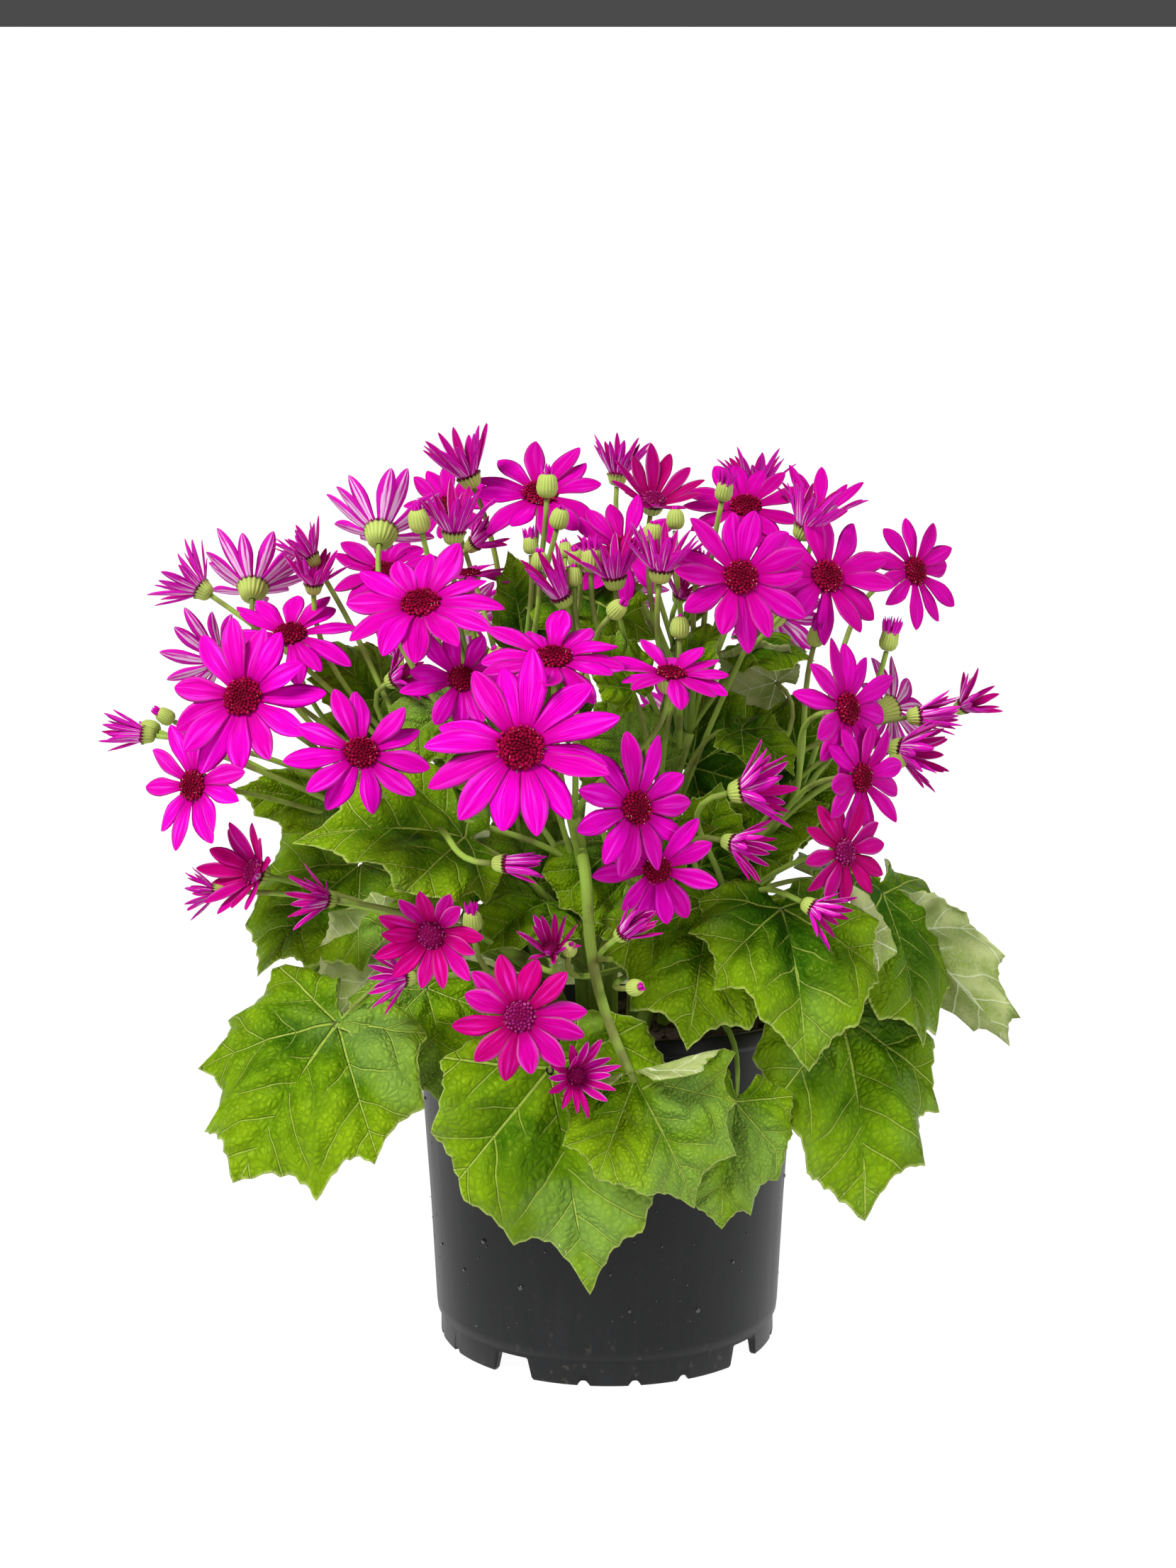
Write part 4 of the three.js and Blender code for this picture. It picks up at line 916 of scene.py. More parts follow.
def pot_material(name, tone):
    """Satin black plastic with a fine moulded grain, faint scuffs and dust."""
    s = Shader(name)
    place = s.places()
    parts = s.make("ShaderNodeSeparateXYZ", sockets={0: place})
    drawn_out = s.make("ShaderNodeVectorMath", {"operation": "MULTIPLY"}, {0: place, 1: (1, 1, 0.08)})
    streaks = s.noise(drawn_out, 160.0)
    dust = s.step(s.noise(place, 1400.0, 2.0), 0.72, 0.80)
    low = 1 - s.step(Wire(s, parts.socket.node.outputs[2]), 0.0, 0.03)
    soil = s.step(s.noise(place, 300.0, 4.0), 0.60, 0.75) * (low * 0.6 + 0.08)
    worn = s.mix(s.step(streaks, 0.45, 0.7) * 0.2, tone, (0.022, 0.022, 0.025))
    pits = s.step(s.noise(place, 620.0, 2.0), 0.66, 0.72)
    pitted = s.mix(pits * 0.7, worn, (0.001, 0.001, 0.001))
    colour = s.mix(soil * 0.6 + dust * 0.12, pitted, (0.14, 0.115, 0.09))
    rough = 0.34 + streaks * 0.14 + soil * 0.3
    grain = s.noise(place, 2200.0, 2.0)
    normal = s.bump(grain * 0.5 + streaks, 0.00012, 0.35)
    return s.finish(colour, rough, normal, specular_ior_level=0.27)


def drop_material(name, tone):
    """Water drops on black plastic: clear, smooth and wet."""
    s = Shader(name)
    colour = s.mix(s.step(s.noise(s.places(), 300.0), 0.4, 0.6), tone, tuple(c * 2.5 for c in tone))
    return s.finish(colour, 0.05, coat_weight=1.0)


def peat_material(name, tone):
    """Damp dark peat with brown fibres and paler crumbs."""
    s = Shader(name)
    place = s.places()
    crumbs = s.noise(place, 420.0, 5.0, 0.65)
    fibres = s.cells(place, 700.0)
    brown = s.mix(s.step(crumbs, 0.42, 0.68), tone, (0.075, 0.038, 0.018))
    colour = s.mix(s.step(fibres, 0.55, 0.8) * 0.3, brown, (0.16, 0.10, 0.05))
    return s.finish(colour, 0.82 + crumbs * 0.12, s.bump(crumbs + fibres * 0.5, 0.0012, 0.8))


# ---------------------------------------------------------------- petals, discs, cups and buds


def petal_outline(s, claw):
    """Half width of a petal at each share of its length, as a share of its greatest half width."""
    rise = np.clip(s / 0.62, 0, 1)
    body = claw + (1 - claw) * rise * rise * (3 - 2 * rise)
    tip = np.clip((s - 0.52) / 0.48, 0, 1)
    return body * np.clip(1 - tip**2.0, 0, 1) ** 0.66


def add_petal(surface, base, form, shape, flower):
    """Adds one petal as a thin closed shell.

    base holds the head's middle and the radial, tangent and outward ways; form its start, length,
    half width, lean and sag; shape its rolling, bend, twist, claw, draw, painted shade and columns.
    """
    centre, radial, tangent, out = base
    start, reach, half, lean, sag = form
    rolling, bend, twist, claw, draw, shade, columns = shape
    rows = 11
    s = np.sin(np.linspace(0, 1, rows) * math.pi / 2) ** 1.15
    s[-1] = 0.997
    along = start + reach * s * math.cos(lean)
    lift = reach * s * math.sin(lean) - sag * s * s
    slope = np.arctan2(reach * math.sin(lean) - 2 * sag * s, reach * math.cos(lean))
    u = np.linspace(-1, 1, columns + 1)
    lower = u[-2:0:-1]
    ring = np.concatenate([u, lower])
    side = np.concatenate([np.ones(len(u)), -np.ones(len(lower))])
    width = half * petal_outline(s, claw)[:, None]
    turn = rolling * (0.55 + 0.45 * s[:, None])
    safe = np.where(np.abs(turn) < 0.02, 0.02, turn)
    sideways = width * np.sin(safe * ring) / safe
    hollow = width * (1 - np.cos(safe * ring)) / safe
    fade = np.sin(np.clip(s * 1.15, 0, 1) * math.pi)[:, None] ** 0.6
    grooves = flower.groove * np.cos(3 * math.pi * ring) * (1 - np.abs(ring) ** 3) * fade
    thick = flower.petal_thickness * (1 - 0.7 * ring**4) * (0.55 + 0.45 * fade)
    height = hollow + grooves + side * thick / 2
    spin = twist * s[:, None]
    across_way = sideways * np.cos(spin) - height * np.sin(spin) + bend * reach * s[:, None] ** 2
    over_way = sideways * np.sin(spin) + height * np.cos(spin)
    r = along[:, None] - over_way * np.sin(slope)[:, None]
    h = lift[:, None] + over_way * np.cos(slope)[:, None]
    points = centre + r[..., None] * radial + across_way[..., None] * tangent + h[..., None] * out
    looks = np.concatenate([np.zeros(columns), np.ones(columns)])
    across_map = np.concatenate([u, -u[1:]]) / 2 + 0.5
    surface.tube(points, looks[None, :], across_map, s, (draw, shade))


def ray_draws(item):
    """The solid's own draws: the first turn, then lean, length and width of each ray."""
    roll = dice(item["seed"])
    first = next(roll) * math.pi
    return first, [[next(roll) for _ in range(3)] for _ in range(item["rays"])]


def add_petals(surface, item, flower):
    """Adds all petals of a head. A head with more petals than its solid has rays spreads its own."""
    kind, size, petals = KINDS[item["kind"]], item["size"], item["petals"]
    centre, out, side, over = stance(item["at"], item["face"])
    rise = math.radians(kind["rise"])
    hub = size / 2 * kind["disc"] * 0.86
    reach = size * kind["reach"]
    first, draws = ray_draws(item)
    more = np.random.default_rng(item["seed"])
    step = 2 * math.pi / petals
    same = petals == item["rays"]
    narrow = kind["rise"] > 45
    # painted shade for the whole head: deeper to the right and further back, away from the key light
    shade = float(np.clip(0.9 + 0.003 * centre[0] + 0.006 * centre[1], 0, 1))
    breadth = size * more.uniform(0.075, 0.089)
    spread = 30 if narrow else 7
    for i in range(petals):
        lean_draw, length_draw, width_draw = draws[i] if same else more.random(3)
        wander = 0 if same else more.uniform(-0.25, 0.25) * step
        angle = first + (i + 0.5) * step + wander
        radial, tangent = around(side, over, [angle, angle + math.pi / 2])
        lean = rise + math.radians((-4.5 if i % 2 else 4.5) + (lean_draw - 0.5) * spread)
        span = (reach - hub) * (0.84 + (0.3 if narrow else 0.25) * length_draw)
        sag = (more.uniform(-0.04, 0.3) if kind["rise"] < 20 else more.uniform(-0.12, 0.02)) * span
        if narrow:
            half = size * (0.056 + 0.016 * width_draw)
            curl = (more.uniform(0.3, 1.2), more.uniform(-0.14, 0.14), more.uniform(-0.5, 0.5), 0.7)
        elif item["kind"] == "cupped":
            half = breadth + size * 0.012 * width_draw
            curl = (more.uniform(0.3, 0.8), more.uniform(-0.1, 0.1), more.uniform(-0.3, 0.3), 0.5)
        else:
            half = breadth + size * 0.012 * (width_draw - 0.3)
            rolling = more.uniform(0.4, 0.9) if more.random() < 0.15 else more.uniform(-0.45, 0.35)
            curl = (rolling, more.uniform(-0.14, 0.14), more.uniform(-0.4, 0.4), 0.42)
        shape = (*curl, more.random(), shade, 6 if narrow else 8)
        form = (hub * 0.9, span + hub * 0.1, half, lean, sag)
        add_petal(surface, (centre, radial, tangent, out), form, shape, flower)


def add_disc(surface, item, looks):
    """Adds a domed disc of small florets, larger and brighter towards its edge."""
    kind = KINDS[item["kind"]]
    centre, out, side, over = stance(item["at"], item["face"])
    radius = item["size"] / 2 * kind["disc"] * 0.94
    dome = radius * (0.42 if kind["rise"] < 30 else 0.6)
    more = np.random.default_rng(item["seed"] + 500)
    profile = [(1.0, -0.05), (0.97, 0.35), (0.8, 0.72), (0.55, 0.9), (0.28, 0.98), (0.02, 1.0)]
    rings = turned(centre, around(side, over, circle(24)) * radius, out * dome, profile)
    surface.patch(rings, looks[0], lattice(np.zeros(25), np.linspace(0, 0.2, 6)))
    count = int(np.clip(2.1 * radius**2, 24, 120))
    for k in range(count):
        share = math.sqrt((k + 0.5) / count)
        way = around(side, over, k * GOLDEN_ANGLE)
        lean = unit(way * 0.55 * share + out + more.normal(0, 0.12, 3))
        root = centre + way * share * radius * 0.97 + out * dome * (1 - share**2.4) * 0.9
        size = radius * (0.055 + 0.05 * share) + more.uniform(0, 0.08)
        tall = radius * (0.10 + 0.13 * share) * more.uniform(0.7, 1.35)
        add_floret(surface, root, lean, size, tall, more.random(), share, looks[0])
    for _ in range(int(count * 0.2)):
        way = around(side, over, more.uniform(0, 2 * math.pi))
        share = math.sqrt(more.uniform(0.45, 1.15))
        height = dome * max(0.0, 1 - share**2.4) + radius * 0.2 * min(share, 1.0)
        spot = centre + way * share * radius + out * height
        grain = ball(6, [-0.98, -0.4, 0.4, 0.98]) * more.uniform(0.12, 0.24)
        surface.patch(spot + grain, looks[1])


def add_floret(surface, root, way, size, tall, draw, share, look):
    """Adds one small five-sided floret that flares a little and closes at its tip."""
    ring = around(*across(way), circle(5) + draw * 6)
    profile = [(0.75, -0.4), (0.8, 0.55), (1.1, 0.9), (0.15, 1.0)]
    tones = np.array([0.0, 0.3, 0.75, 0.95]) * (0.35 + 0.65 * share)
    rings = turned(root, ring * size, way * tall, profile)
    surface.patch(rings, look, lattice(np.full(6, draw), tones))


def add_cup(surface, item, look):
    """Adds the green cup of narrow bracts under a head."""
    centre, out, side, over = stance(item["at"], item["face"])
    scale = cup_scale(item["size"])
    disc = item["size"] / 2 * KINDS[item["kind"]]["disc"]
    radius, tall = max(CUP_RADIUS * scale, 1.04 * disc), CUP_HEIGHT * scale
    turns = circle(4 * BRACTS)
    ribs = np.cos(BRACTS * turns)
    ways = around(side, over, turns)
    shares = [0.0, 0.08, 0.22, 0.45, 0.7, 0.88, 1.0, 1.0]
    radii = [0.2, 0.5, 0.69, 0.8, 0.88, 0.95, 1.06, 0.92]
    rows = []
    for share, wide in zip(shares, radii):
        swell = 1 + 0.03 * ribs * min(1.0, 6 * share)
        heights = 0.5 * ribs * (share == 1.0) - 0.2 - tall * (1 - share)
        rows.append(centre + ways * (radius * wide * swell)[:, None] + np.outer(heights, out))
    surface.patch(np.stack(rows), look, lattice(np.linspace(0, 1, len(turns) + 1), shares))


def add_bud(surface, bud, looks):
    """Adds a ribbed closed bud with the tips of its young petals at the mouth."""
    _, at, face, size, opened = bud
    centre, out, side, over = stance(at, face)
    tall = BUD_LENGTH * size
    turns = circle(4 * BRACTS)
    ribs = np.cos(BRACTS * turns)
    ways = around(side, over, turns)
    heights = np.array([-0.5, -0.46, -0.34, -0.12, 0.12, 0.3, 0.41, 0.43])
    radii = np.array([0.12, 0.25, 0.37, 0.42, 0.39, 0.32, 0.22, 0.12]) + 0.06 * opened * (heights > 0.2)
    rows = [
        centre + ways * (tall * wide * (1 + 0.02 * ribs))[:, None] + out * height * tall
        for height, wide in zip(heights, radii)
    ]
    bud_map = lattice(np.linspace(0, 1, len(turns) + 1), np.linspace(0, 1, len(heights)))
    surface.patch(np.stack(rows), looks[0], bud_map)
    more = np.random.default_rng(int(abs(at[0] * 7 + at[2])))
    rays = int(4 + 12 * opened)
    for k in range(rays):
        share = math.sqrt((k + 0.5) / rays) * (0.12 + 0.16 * opened)
        root = centre + around(side, over, k * GOLDEN_ANGLE) * share * tall
        lean = unit(out + (root - centre) * 0.09 * opened + more.normal(0, 0.05, 3))
        ring = around(*across(lean), circle(5))
        top = 0.45 + (0.1 + 0.45 * opened) * more.uniform(0.8, 1.2)
        profile = [(0.06, 0.3), (0.07, 0.45), (0.06, 0.18 + 0.6 * top), (0.01, top)]
        rings = turned(root, ring * tall, lean * tall, profile)
        surface.patch(rings, looks[1], lattice(np.linspace(0, 1, 6), np.linspace(0.3, 1, 4)))


# ---------------------------------------------------------------- stems and leaves


def add_stem(surface, curve, radii, sides):
    """Adds a round stem along a curve, from one radius to another."""
    start, end = radii
    shares = np.linspace(0, 1, max(6, int(curve.length / 6)) + 1)
    middles, ways = curve.at(shares), curve.way(shares)
    normal = across(ways[0])[0]
    turns = circle(sides)
    rings = []
    for middle, way, share in zip(middles, ways, shares):
        normal = squared(normal, way)
        radius = start + (end - start) * share
        rings.append(middle + radius * around(normal, np.cross(way, normal), turns))
    surface.tube(np.stack(rings), 0, np.linspace(0, 1, sides + 1), shares)


def squared(vector, axis):
    """The part of a vector square to an axis, as a unit vector."""
    return unit(vector - axis * (vector @ axis))


def leaf_frame(item):
    """The leaf's own axes. Its midrib starts above the straight way to the tip by as much as it droops."""
    root, tip = np.array(item["at"], float), np.array(item["tip"], float)
    size = np.linalg.norm(tip - root)
    straight = (tip - root) / size
    mid = unit(straight + squared(facing(item["face"]), straight) * item["droop"])
    normal = squared(facing(item["face"]), mid)
    return root, mid, np.cross(mid, normal), normal, size


# Half of a leaf's margin: teeth and the bays between them, as angle from the midrib and reach.
LEAF_TEETH = [(0, 1.0), (25, 0.88), (49, 0.81), (76, 0.74), (104, 0.58), (146, 0.3)]
LEAF_BAYS = [(13, 0.84), (37, 0.75), (62, 0.68), (90, 0.57), (122, 0.40), (180, 0.05)]


def leaf_margin(item, steps):
    """The margin as places along and across the midrib: hollow bays between pointed teeth."""
    more = np.random.default_rng(int(item["seed"] * 10))

    def place(angle, reach):
        cosine, sine = heading(angle + more.uniform(-2, 2))
        return np.array([cosine, sine * item["width"]]) * reach * more.uniform(0.95, 1.05)

    left_teeth = [(-angle, reach) for angle, reach in LEAF_TEETH[:0:-1]]
    left_bays = [(-angle, reach) for angle, reach in LEAF_BAYS[-2::-1]]
    teeth = [place(*tooth) for tooth in left_teeth + LEAF_TEETH]
    bays = [place(*bay) for bay in left_bays + LEAF_BAYS]
    margin = []
    t = np.linspace(0, 1, steps + 1)[:-1, None]
    for tooth, following, bay in zip(teeth, teeth[1:] + teeth[:1], bays):
        dip = 1 - np.abs(2 * t - 1) ** 1.8
        small = 1 - np.abs(((t * 4 + more.uniform(-0.2, 0.2)) % 1) * 2 - 1)
        chord = tooth + (following - tooth) * t
        outward = bay / np.linalg.norm(bay) * np.linalg.norm(following - tooth)
        nubs = outward * (small**1.5 * np.sqrt(np.clip(dip, 0, 1)) * more.uniform(0.03, 0.07))
        margin.append(chord + (bay - (tooth + following) / 2) * dip + nubs)
    return np.concatenate(margin)


def painted_leaf_light(x, y, z):
    """Painted light and shade of a leaf, from 0 to 1: paler on the left, low down and in front, towards the
    key light, darker inside the plant.
    """
    inside = np.clip((y + 60) / 60, 0, 1)
    front = max(0, -80 - y)
    return np.clip(0.58 - 0.0021 * x - 0.0012 * (z - 180) + 0.010 * front - 0.3 * inside, 0, 1)


def add_leaf(surface, item, foliage):
    """Adds a lobed blade with sunken main veins, a waved margin and a felted lower side."""
    root, mid, side, normal, size = leaf_frame(item)
    margin = leaf_margin(item, 12)
    rows = 26 if item["curl"] else 11
    t = np.linspace(0.02, 1, rows) ** 0.85
    flat = margin[None] * t[:, None, None]
    x, y = flat[..., 0], flat[..., 1]
    r, angle = np.hypot(x, y), np.arctan2(y, x)
    veins = np.full_like(x, FAR_OFF)
    for vein in LEAF_VEINS:
        cosine, sine = heading(vein)
        along = x * cosine + np.abs(y) * sine
        veins = np.minimum(veins, np.where(along > 0, np.abs(np.abs(y) * cosine - x * sine), FAR_OFF))
    relief = 0.075 * (1 - np.exp(-((veins / 0.12) ** 2))) * (1 - t[:, None] ** 6)
    ruffle = 0.05 * np.sin(7 * angle + item["seed"]) * t[:, None] ** 3
    quilt = 0.016 * np.sin(16 * x + item["seed"]) * np.sin(15 * y) * (1 - t[:, None] ** 4)
    height = (
        -item["droop"] * r * r
        + LEAF_FOLD * np.abs(y)
        + 0.09 * np.sin(3 * angle + item["seed"]) * r * r
        + relief
        + ruffle
        + quilt
    ) * size
    way, begin, most = item["curl"] or (0, FAR_OFF, 0.0)
    cosine, sine = heading(way)
    flap = np.clip(x * cosine + y * sine - begin, 0, None)
    turn = most * np.clip(flap / 0.05, 0, 1)
    back = flap * (1 - np.cos(turn))
    x, y = x - back * cosine, y - back * sine
    height = height + (flap * np.sin(turn) + 0.025 * (1 - np.cos(turn))) * size
    middle = root + (x * size)[..., None] * mid + (y * size)[..., None] * side
    outward = np.cos(turn)[..., None] * normal - np.sin(turn)[..., None] * (cosine * mid + sine * side)
    thick = (foliage.blade_thickness / 2 * (1 - 0.5 * t**4))[:, None, None] * outward
    upper = middle + height[..., None] * normal + thick
    lower = middle + height[..., None] * normal - thick
    points = np.concatenate([upper, lower[::-1]])
    looks = np.concatenate([np.zeros(rows), np.ones(rows - 1)])[:, None]
    both = np.concatenate([flat, flat[::-1]]) / LEAF_SPAN + 0.5
    both = np.concatenate([both, both[:, :1]], 1)
    second = np.zeros((2 * rows, 1, 2))
    second[:, 0, 0] = np.concatenate([t, t[::-1]])
    # the leaf's draw: mostly painted light and shade from its place in the plant, the rest its own random
    # tone
    second[:, 0, 1] = 0.7 * painted_leaf_light(*item["at"]) + 0.3 * (item["seed"] * 0.381 % 1)
    surface.patch(points, looks, both, second=second)


# ---------------------------------------------------------------- operators


def settings_of(context):
    return context.scene.cineraria


class CINERARIA_OT_pot(Operator):
    """Turns the black nursery pot with its lip, collar, feet and water drops."""

    bl_idname = "cineraria.pot"
    bl_label = "Nursery Pot"

    def execute(self, context):
        pot = settings_of(context).pot
        rim, wall = pot.rim_radius, pot.wall
        lip_foot = POT_HEIGHT - pot.lip_height
        collar_foot = lip_foot - pot.collar_height
        foot, floor = FOOT_RADIUS, POT_FLOOR
        profile = [
            (foot - 2.2, 0.0, 1), (foot - 0.4, 0.0, 1), (foot, 0.5, 1), (foot, floor - 1.2, 0),
            (foot + 0.3, floor - 0.3, 0), (WALL_LOW_RADIUS, floor + 0.6, 0), (75.4, floor + 4, 0),
            (78.2, 60.0, 0), (82.0, collar_foot - 2.5, 0), (82.3, collar_foot - 0.4, 0),
            (83.2, collar_foot + 0.6, 0), (83.6, collar_foot + 1.8, 0), (83.7, lip_foot - 1.0, 0),
            (84.0, lip_foot - 0.1, 0), (rim - 0.1, lip_foot + 0.5, 0), (rim, lip_foot + 1.5, 0),
            (rim, POT_HEIGHT - 1.4, 0), (rim - 0.3, POT_HEIGHT - 0.5, 0), (rim - 0.9, POT_HEIGHT, 0),
            (rim - wall, POT_HEIGHT - 0.1, 0), (rim - wall - 0.4, POT_HEIGHT - 0.8, 0),
            (WALL_HIGH_RADIUS - wall, collar_foot, 0), (WALL_LOW_RADIUS - wall, floor + 1, 0),
            (WALL_LOW_RADIUS - 1.0 - wall, floor, 0),
            (0.5, floor, 0), (0.5, floor - 2, 0), (foot - 3.4, floor - 2, 0), (foot - 3.0, floor - 2.6, 0),
            (foot - 2.6, 0.4, 1), (foot - 2.2, 0.0, 1),
        ]
        degrees = np.arange(0, 360, 0.5)
        cut = foot_profile(degrees)
        ways = around(-BACK, RIGHT, np.radians(degrees))
        rows = []
        for radius, z, on_foot in profile:
            heights = np.maximum(z, cut * on_foot)
            rows.append(ways * radius + heights[:, None] * UP)
        surface = Surface()
        surface.patch(np.stack(rows))
        plastic = pot_material("pot_plastic_black", tuple(pot.plastic))
        make_object("nursery_pot", surface, [plastic], "pot")
        drops = Surface()
        more = np.random.default_rng(5)
        for _ in range(pot.drops):
            add_drop(drops, more)
        wet = drop_material("wet_black", tuple(pot.plastic))
        make_object("pot_drops", drops, [wet], "pot")
        return {"FINISHED"}


def foot_profile(degrees):
    """How high the foot ring's underside stands at each angle from the front, in wide gaps and notches."""

    def off(place):
        return np.abs((degrees - place + 180) % 360 - 180)

    cut = np.zeros_like(degrees)
    for gap, following in zip(FOOT_GAPS, FOOT_GAPS[1:] + [FOOT_GAPS[0] + 360]):
        cut = np.maximum(cut, GAP_HEIGHT * np.clip((7.2 - off(gap)) / 1.8, 0, 1))
        for notch in range(gap + 24, following - NOTCH_STEP, NOTCH_STEP):
            cut = np.maximum(cut, NOTCH_HEIGHT * np.clip(1 - (off(notch) / 1.9) ** 3, 0, 1))
    return cut


def add_drop(surface, more):
    """Adds one flattened drop on the outside of the wall."""
    angle = more.uniform(0, 2 * math.pi)
    z = 16 + 92 * more.random() ** 1.3
    radius = np.interp(z, [11, 112], [WALL_LOW_RADIUS, WALL_HIGH_RADIUS])
    out = around(-BACK, RIGHT, angle)
    side, over = across(out)
    size = 0.3 + 0.8 * more.random() ** 3
    shape = around(side, over * more.uniform(1.0, 1.25), circle(12))
    profile = [(1.0, -0.1), (0.95, 0.18), (0.7, 0.38), (0.35, 0.48), (0.03, 0.5)]
    surface.patch(turned(out * radius + z * UP, shape * size, out * size, profile))


class CINERARIA_OT_soil(Operator):
    """Heaps the damp peat in the pot, with crumbs on top."""

    bl_idname = "cineraria.soil"
    bl_label = "Peat"

    def execute(self, context):
        pot = settings_of(context).pot
        surface = Surface()
        more = np.random.default_rng(9)
        columns = 140
        ways = around(RIGHT, BACK, circle(columns))
        waves = [
            (more.uniform(0.05, 0.5, 2) * more.choice([-1, 1], 2), more.uniform(0, 6.28)) for _ in range(14)
        ]
        rows = [ways * 76.5 + (SOIL_TOP - 30) * UP]
        for share in np.linspace(1, 0.01, 34):
            flat = ways * SOIL_RADIUS * share
            bumps = sum(np.sin(flat[:, 0] * a + flat[:, 1] * b + c) for (a, b), c in waves) * 0.22
            heights = SOIL_TOP - 1.2 + SOIL_DOME * (1 - share**2) + bumps + more.normal(0, 0.25, columns)
            rows.append(flat + heights[:, None] * UP)
        surface.patch(np.stack(rows))
        for _ in range(420):
            way = around(RIGHT, BACK, more.uniform(0, 2 * math.pi))
            share = 0.97 * math.sqrt(more.random())
            height = SOIL_TOP - 0.8 + SOIL_DOME * (1 - share**2) + more.uniform(-0.3, 0.6)
            size = 0.5 + 1.9 * more.random() ** 2.5
            lump = ball(7, [-0.9, -0.3, 0.35, 0.9], 0.7)
            lump = lump * more.uniform(0.7, 1.3, lump.shape[:2] + (1,)) * more.uniform(0.7, 1.3, 3)
            surface.patch(way * share * SOIL_RADIUS + height * UP + lump * size)
        make_object("peat", surface, [peat_material("damp_peat", tuple(pot.peat))], "soil")
        return {"FINISHED"}


class CINERARIA_OT_stems(Operator):
    """Grows the leafy stems: trunks, flower stalks, leaf stalks, cups and buds."""

    bl_idname = "cineraria.stems"
    bl_label = "Stems, Cups and Buds"

    def execute(self, context):
        foliage, flower = settings_of(context).foliage, settings_of(context).flower
        materials = [
            stem_material("stem_green", foliage),
            cup_material("cup_green", foliage),
            underside_material("young_petal_tips", flower, 0.35),
        ]
        for stem in LEAFY_STEMS:
            surface = Surface()
            trunk = trunk_curve(stem)
            add_stem(surface, trunk, TRUNK_RADII, 16)
            for item in of_stem(BLOOMS + HALF_OPEN + SMALL_HEADS, stem):
                below = CUP_HEIGHT * cup_scale(item["size"])
                self.add_stalk(surface, trunk, item["at"], facing(item["face"]), below, item["branch"])
                add_cup(surface, item, 1)
            for bud in BUDS:
                if bud[0] == stem:
                    self.add_stalk(surface, trunk, bud[1], facing(bud[2]), 0.5 * BUD_LENGTH * bud[3])
                    add_bud(surface, bud, (1, 2))
            for index, item in enumerate(of_stem(LEAVES + INNER_LEAVES, stem)):
                root, mid, _, normal, size = leaf_frame(item)
                bend = 0.5 if root[2] < POT_HEIGHT + 20 else 0.3
                start = item["start"] or 0.3 + 0.06 * (index % 6)
                arrival = unit(mid - 0.2 * normal) if item["start"] else mid
                curve = stalk_curve(trunk, start, root + 0.02 * size * mid - 0.8 * normal, arrival, bend)
                add_stem(surface, curve, FRONT_STALK_RADII if item["start"] else LEAF_STALK_RADII, 10)
            make_object("stems_" + stem, surface, materials, "leafy_stem_" + stem)
        return {"FINISHED"}

    def add_stalk(self, surface, trunk, at, out, below, branch=None):
        """Adds the stalk of a head or bud, from the leafy stem or from another place."""
        at = np.array(at, float)
        end = at - out * (below + 0.4)
        if branch:
            start = np.array(branch, float)
            reach = np.linalg.norm(end - start)
            curve = Curve(start, start + 0.3 * (end - start), end - 0.3 * reach * out, end)
        else:
            curve = stalk_curve(trunk, parting_point(trunk, at), end, out)
        add_stem(surface, curve, STALK_RADII, 9)


class CINERARIA_OT_leaves(Operator):
    """Spreads the lobed leaves of each leafy stem."""

    bl_idname = "cineraria.leaves"
    bl_label = "Leaves"

    def execute(self, context):
        foliage = settings_of(context).foliage
        materials = [leaf_material("leaf_upper", foliage), felt_material("leaf_felt", foliage)]
        for stem in LEAFY_STEMS:
            surface = Surface()
            for item in of_stem(LEAVES + INNER_LEAVES, stem):
                add_leaf(surface, item, foliage)
            make_object("leaves_" + stem, surface, materials, "leafy_stem_" + stem)
        return {"FINISHED"}


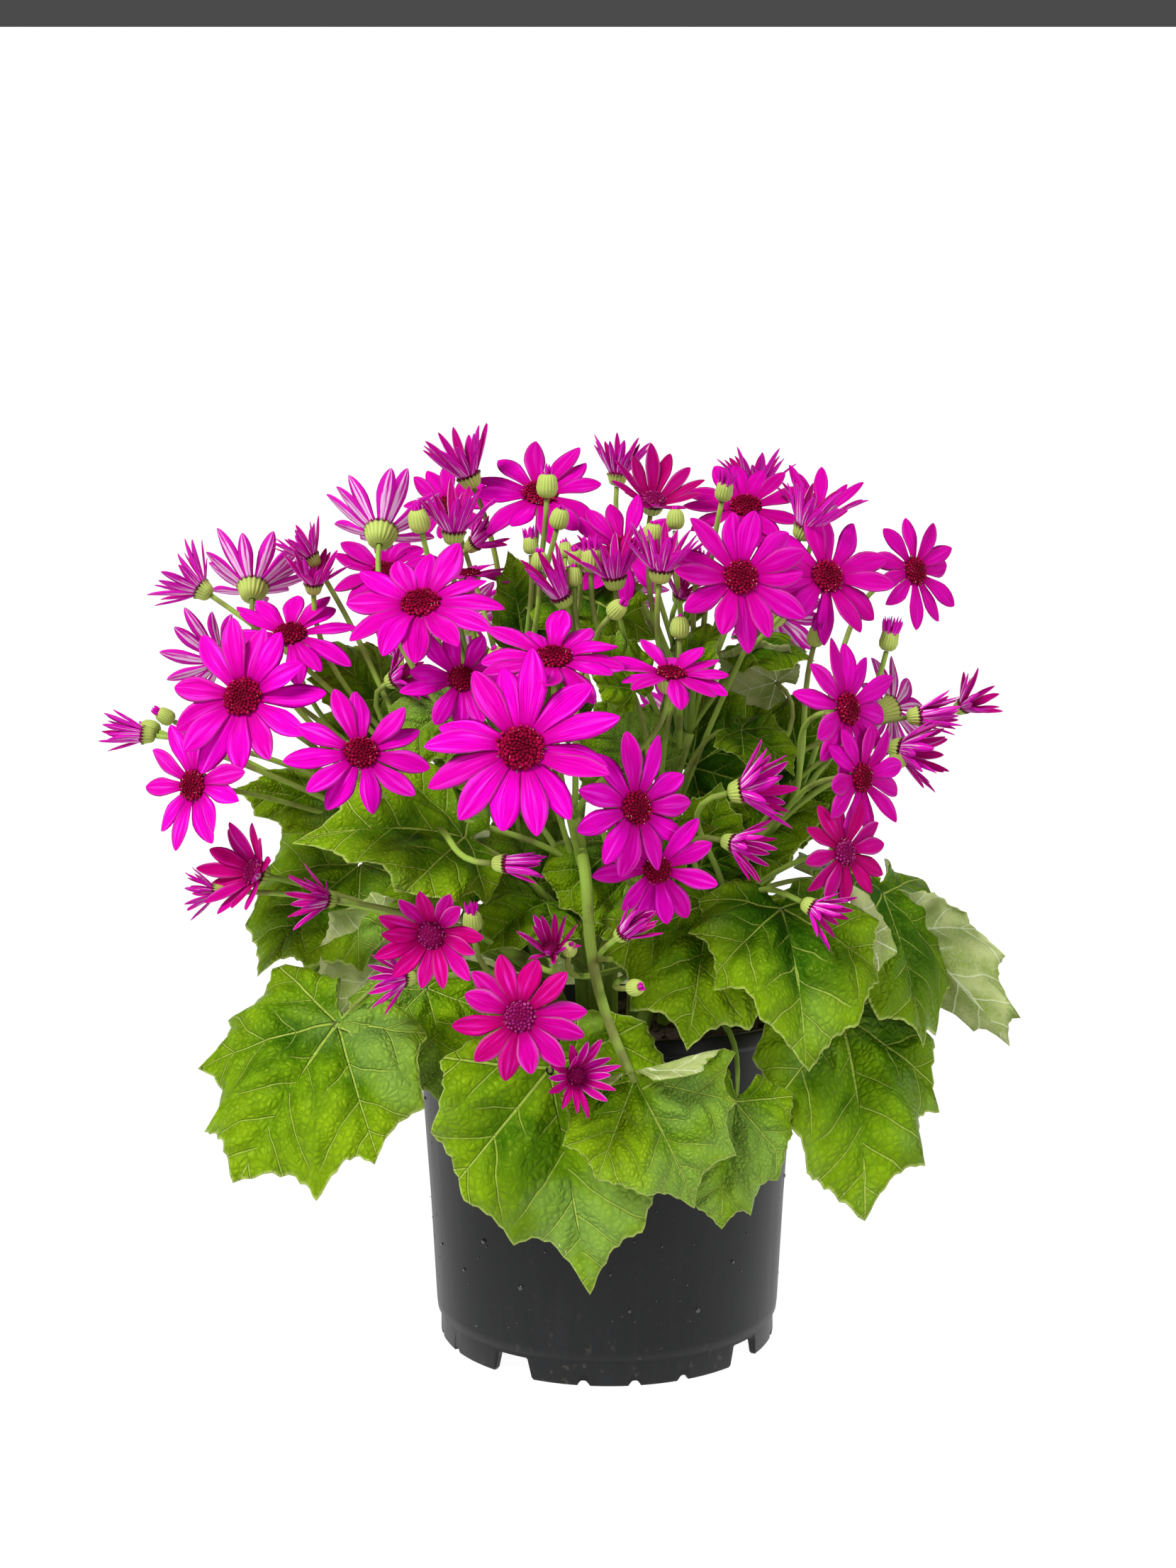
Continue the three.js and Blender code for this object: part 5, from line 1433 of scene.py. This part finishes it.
class CINERARIA_OT_flowers(Operator):
    """Opens the flower heads: petals and discs."""

    bl_idname = "cineraria.flowers"
    bl_label = "Flower Heads"

    def execute(self, context):
        flower = settings_of(context).flower
        under = underside_material("petal_under", flower, 0.18)
        young_under = underside_material("young_petal_under", flower, 0.3)
        upper = petal_material("petal_magenta", tuple(flower.magenta))
        red = petal_material("petal_crimson", tuple(flower.crimson))
        young = petal_material("petal_young", YOUNG_PETAL)
        middle, outer, lips = (0.20, 0.001, 0.022), (0.40, 0.003, 0.06), (0.60, 0.03, 0.16)
        stops = [(0.0, tuple(flower.burgundy)), (0.5, middle), (0.85, outer), (1.0, lips)]
        floret = floret_material("disc_florets", stops)
        stops = [(0.0, (0.16, 0.002, 0.05)), (0.5, (0.26, 0.003, 0.10)), (1.0, (0.55, 0.05, 0.36))]
        young_floret = floret_material("young_disc_florets", stops)
        pollen = pollen_material("pollen", POLLEN)
        for rank, item in enumerate(BLOOMS, 1):
            rays, disc = Surface(), Surface()
            add_petals(rays, item, flower)
            add_disc(disc, item, (0, 1))
            node, whole = f"bloom_{rank:02d}", rank <= WHOLE_DISCS
            slot = "crimson_petals" if item["crimson"] else "magenta_petals"
            looks = [red if item["crimson"] else upper, under]
            make_object(f"petals_{rank:02d}", rays, looks, node + "_rays" * whole)
            looks = [young_floret if item["crimson"] else floret, pollen]
            make_object(f"disc_{rank:02d}", disc, looks, node + "_disc" * whole)
        looks = [young, young_under, young_floret, pollen]
        for rank, item in enumerate(HALF_OPEN, 1):
            name, node = f"young_petals_{rank:02d}", f"half_open_{rank:02d}"
            self.add_heads(name, [item], looks, node, "young_petals")
        for stem in LEAFY_STEMS:
            for opened, name, tones, slot in (
                (False, "small_heads_", looks, "young_petals"),
                (True, "hidden_heads_", [upper, under, floret, pollen], "magenta_petals"),
            ):
                heads = [item for item in of_stem(SMALL_HEADS, stem) if (item["kind"] == "open") == opened]
                if heads:
                    self.add_heads(name + stem, heads, tones, "leafy_stem_" + stem, slot)
        return {"FINISHED"}

    def add_heads(self, name, heads, looks, node, slot):
        """Makes one piece of the petals and discs of some heads."""
        surface = Surface()
        for item in heads:
            add_petals(surface, item, settings_of(bpy.context).flower)
            add_disc(surface, item, (2, 3))
        make_object(name, surface, looks, node)


class CINERARIA_OT_stage(Operator):
    """Sets the pale floor, the soft studio light and the camera."""

    bl_idname = "cineraria.stage"
    bl_label = "Studio"

    def execute(self, context):
        studio = settings_of(context).studio
        scene = context.scene
        self.add_plane("studio_floor", (0, 0.9, 0), 0, 0.97)
        self.add_plane("studio_wall", (0, 3, 0), math.pi / 2, 1.0)
        world = bpy.data.worlds.new("studio_world")
        scene.world = world
        world.use_nodes = True
        background = world.node_tree.nodes["Background"]
        background.inputs["Color"].default_value = (1, 1, 1, 1)
        background.inputs["Strength"].default_value = studio.surround
        for name, (place, target, share, size) in LAMPS.items():
            self.add_light(name, place, target, studio.key * share, size)
        camera = bpy.data.objects.new("camera", bpy.data.cameras.new("camera"))
        scene.collection.objects.link(camera)
        camera.data.sensor_fit = "VERTICAL"
        camera.data.sensor_height = 36
        camera.data.lens = studio.lens
        place = np.array([studio.camera_side, -studio.camera_distance, studio.camera_height])
        camera.location = AXIS + place / 1000
        camera.rotation_euler = (math.pi / 2, 0, 0)
        scene.camera = camera
        scene.view_settings.view_transform = "Standard"
        return {"FINISHED"}

    def add_plane(self, name, place, tilt, glow):
        """A white plane of the studio; glow is how much it shines by itself."""
        s = Shader(name)
        shade = 1.06 - glow
        s.finish((shade, shade, shade), 0.9, emission_color=(1, 1, 1, 1), emission_strength=glow)
        bpy.ops.mesh.primitive_plane_add(size=4.2, location=place, rotation=(tilt, 0, 0))
        plane = bpy.context.object
        plane.name = name
        plane.data.materials.append(s.material)

    def add_light(self, name, place, target, power, size):
        """Adds a square light that points at its target."""
        light = bpy.data.lights.new(name, "AREA")
        light.energy = power
        light.size = size
        lamp = bpy.data.objects.new(name, light)
        bpy.context.scene.collection.objects.link(lamp)
        lamp.location = place
        lamp.rotation_euler = (Vector(target) - Vector(place)).to_track_quat("-Z", "Y").to_euler()


# ---------------------------------------------------------------- panel and registration


class CinerariaSettings(PropertyGroup):
    """All settings of the plant, its pot and its studio."""

    pot: PointerProperty(type=PotSettings)
    flower: PointerProperty(type=FlowerSettings)
    foliage: PointerProperty(type=FoliageSettings)
    studio: PointerProperty(type=StudioSettings)


OPERATORS = [
    CINERARIA_OT_stage,
    CINERARIA_OT_pot,
    CINERARIA_OT_soil,
    CINERARIA_OT_stems,
    CINERARIA_OT_leaves,
    CINERARIA_OT_flowers,
]


class CINERARIA_PT_panel(Panel):
    """Lists the pieces of the cineraria."""

    bl_idname = "CINERARIA_PT_panel"
    bl_label = "Potted Cineraria"
    bl_space_type = "VIEW_3D"
    bl_region_type = "UI"
    bl_category = "Cineraria"

    def draw(self, context):
        for operator in OPERATORS:
            self.layout.operator(operator.bl_idname)
        for group in ("pot", "flower", "foliage", "studio"):
            part = getattr(settings_of(context), group)
            box = self.layout.box()
            for key in part.__annotations__:
                box.prop(part, key)


SETTINGS = [PotSettings, FlowerSettings, FoliageSettings, StudioSettings, CinerariaSettings]
CLASSES = [*SETTINGS, *OPERATORS, CINERARIA_PT_panel]


def register():
    for item in CLASSES:
        bpy.utils.register_class(item)
    bpy.types.Scene.cineraria = PointerProperty(type=CinerariaSettings)


def unregister():
    del bpy.types.Scene.cineraria
    for item in reversed(CLASSES):
        bpy.utils.unregister_class(item)


def main():
    register()
    bpy.ops.cineraria.stage()
    bpy.ops.cineraria.pot()
    bpy.ops.cineraria.soil()
    bpy.ops.cineraria.stems()
    bpy.ops.cineraria.leaves()
    bpy.ops.cineraria.flowers()


if __name__ == "__main__":
    main()
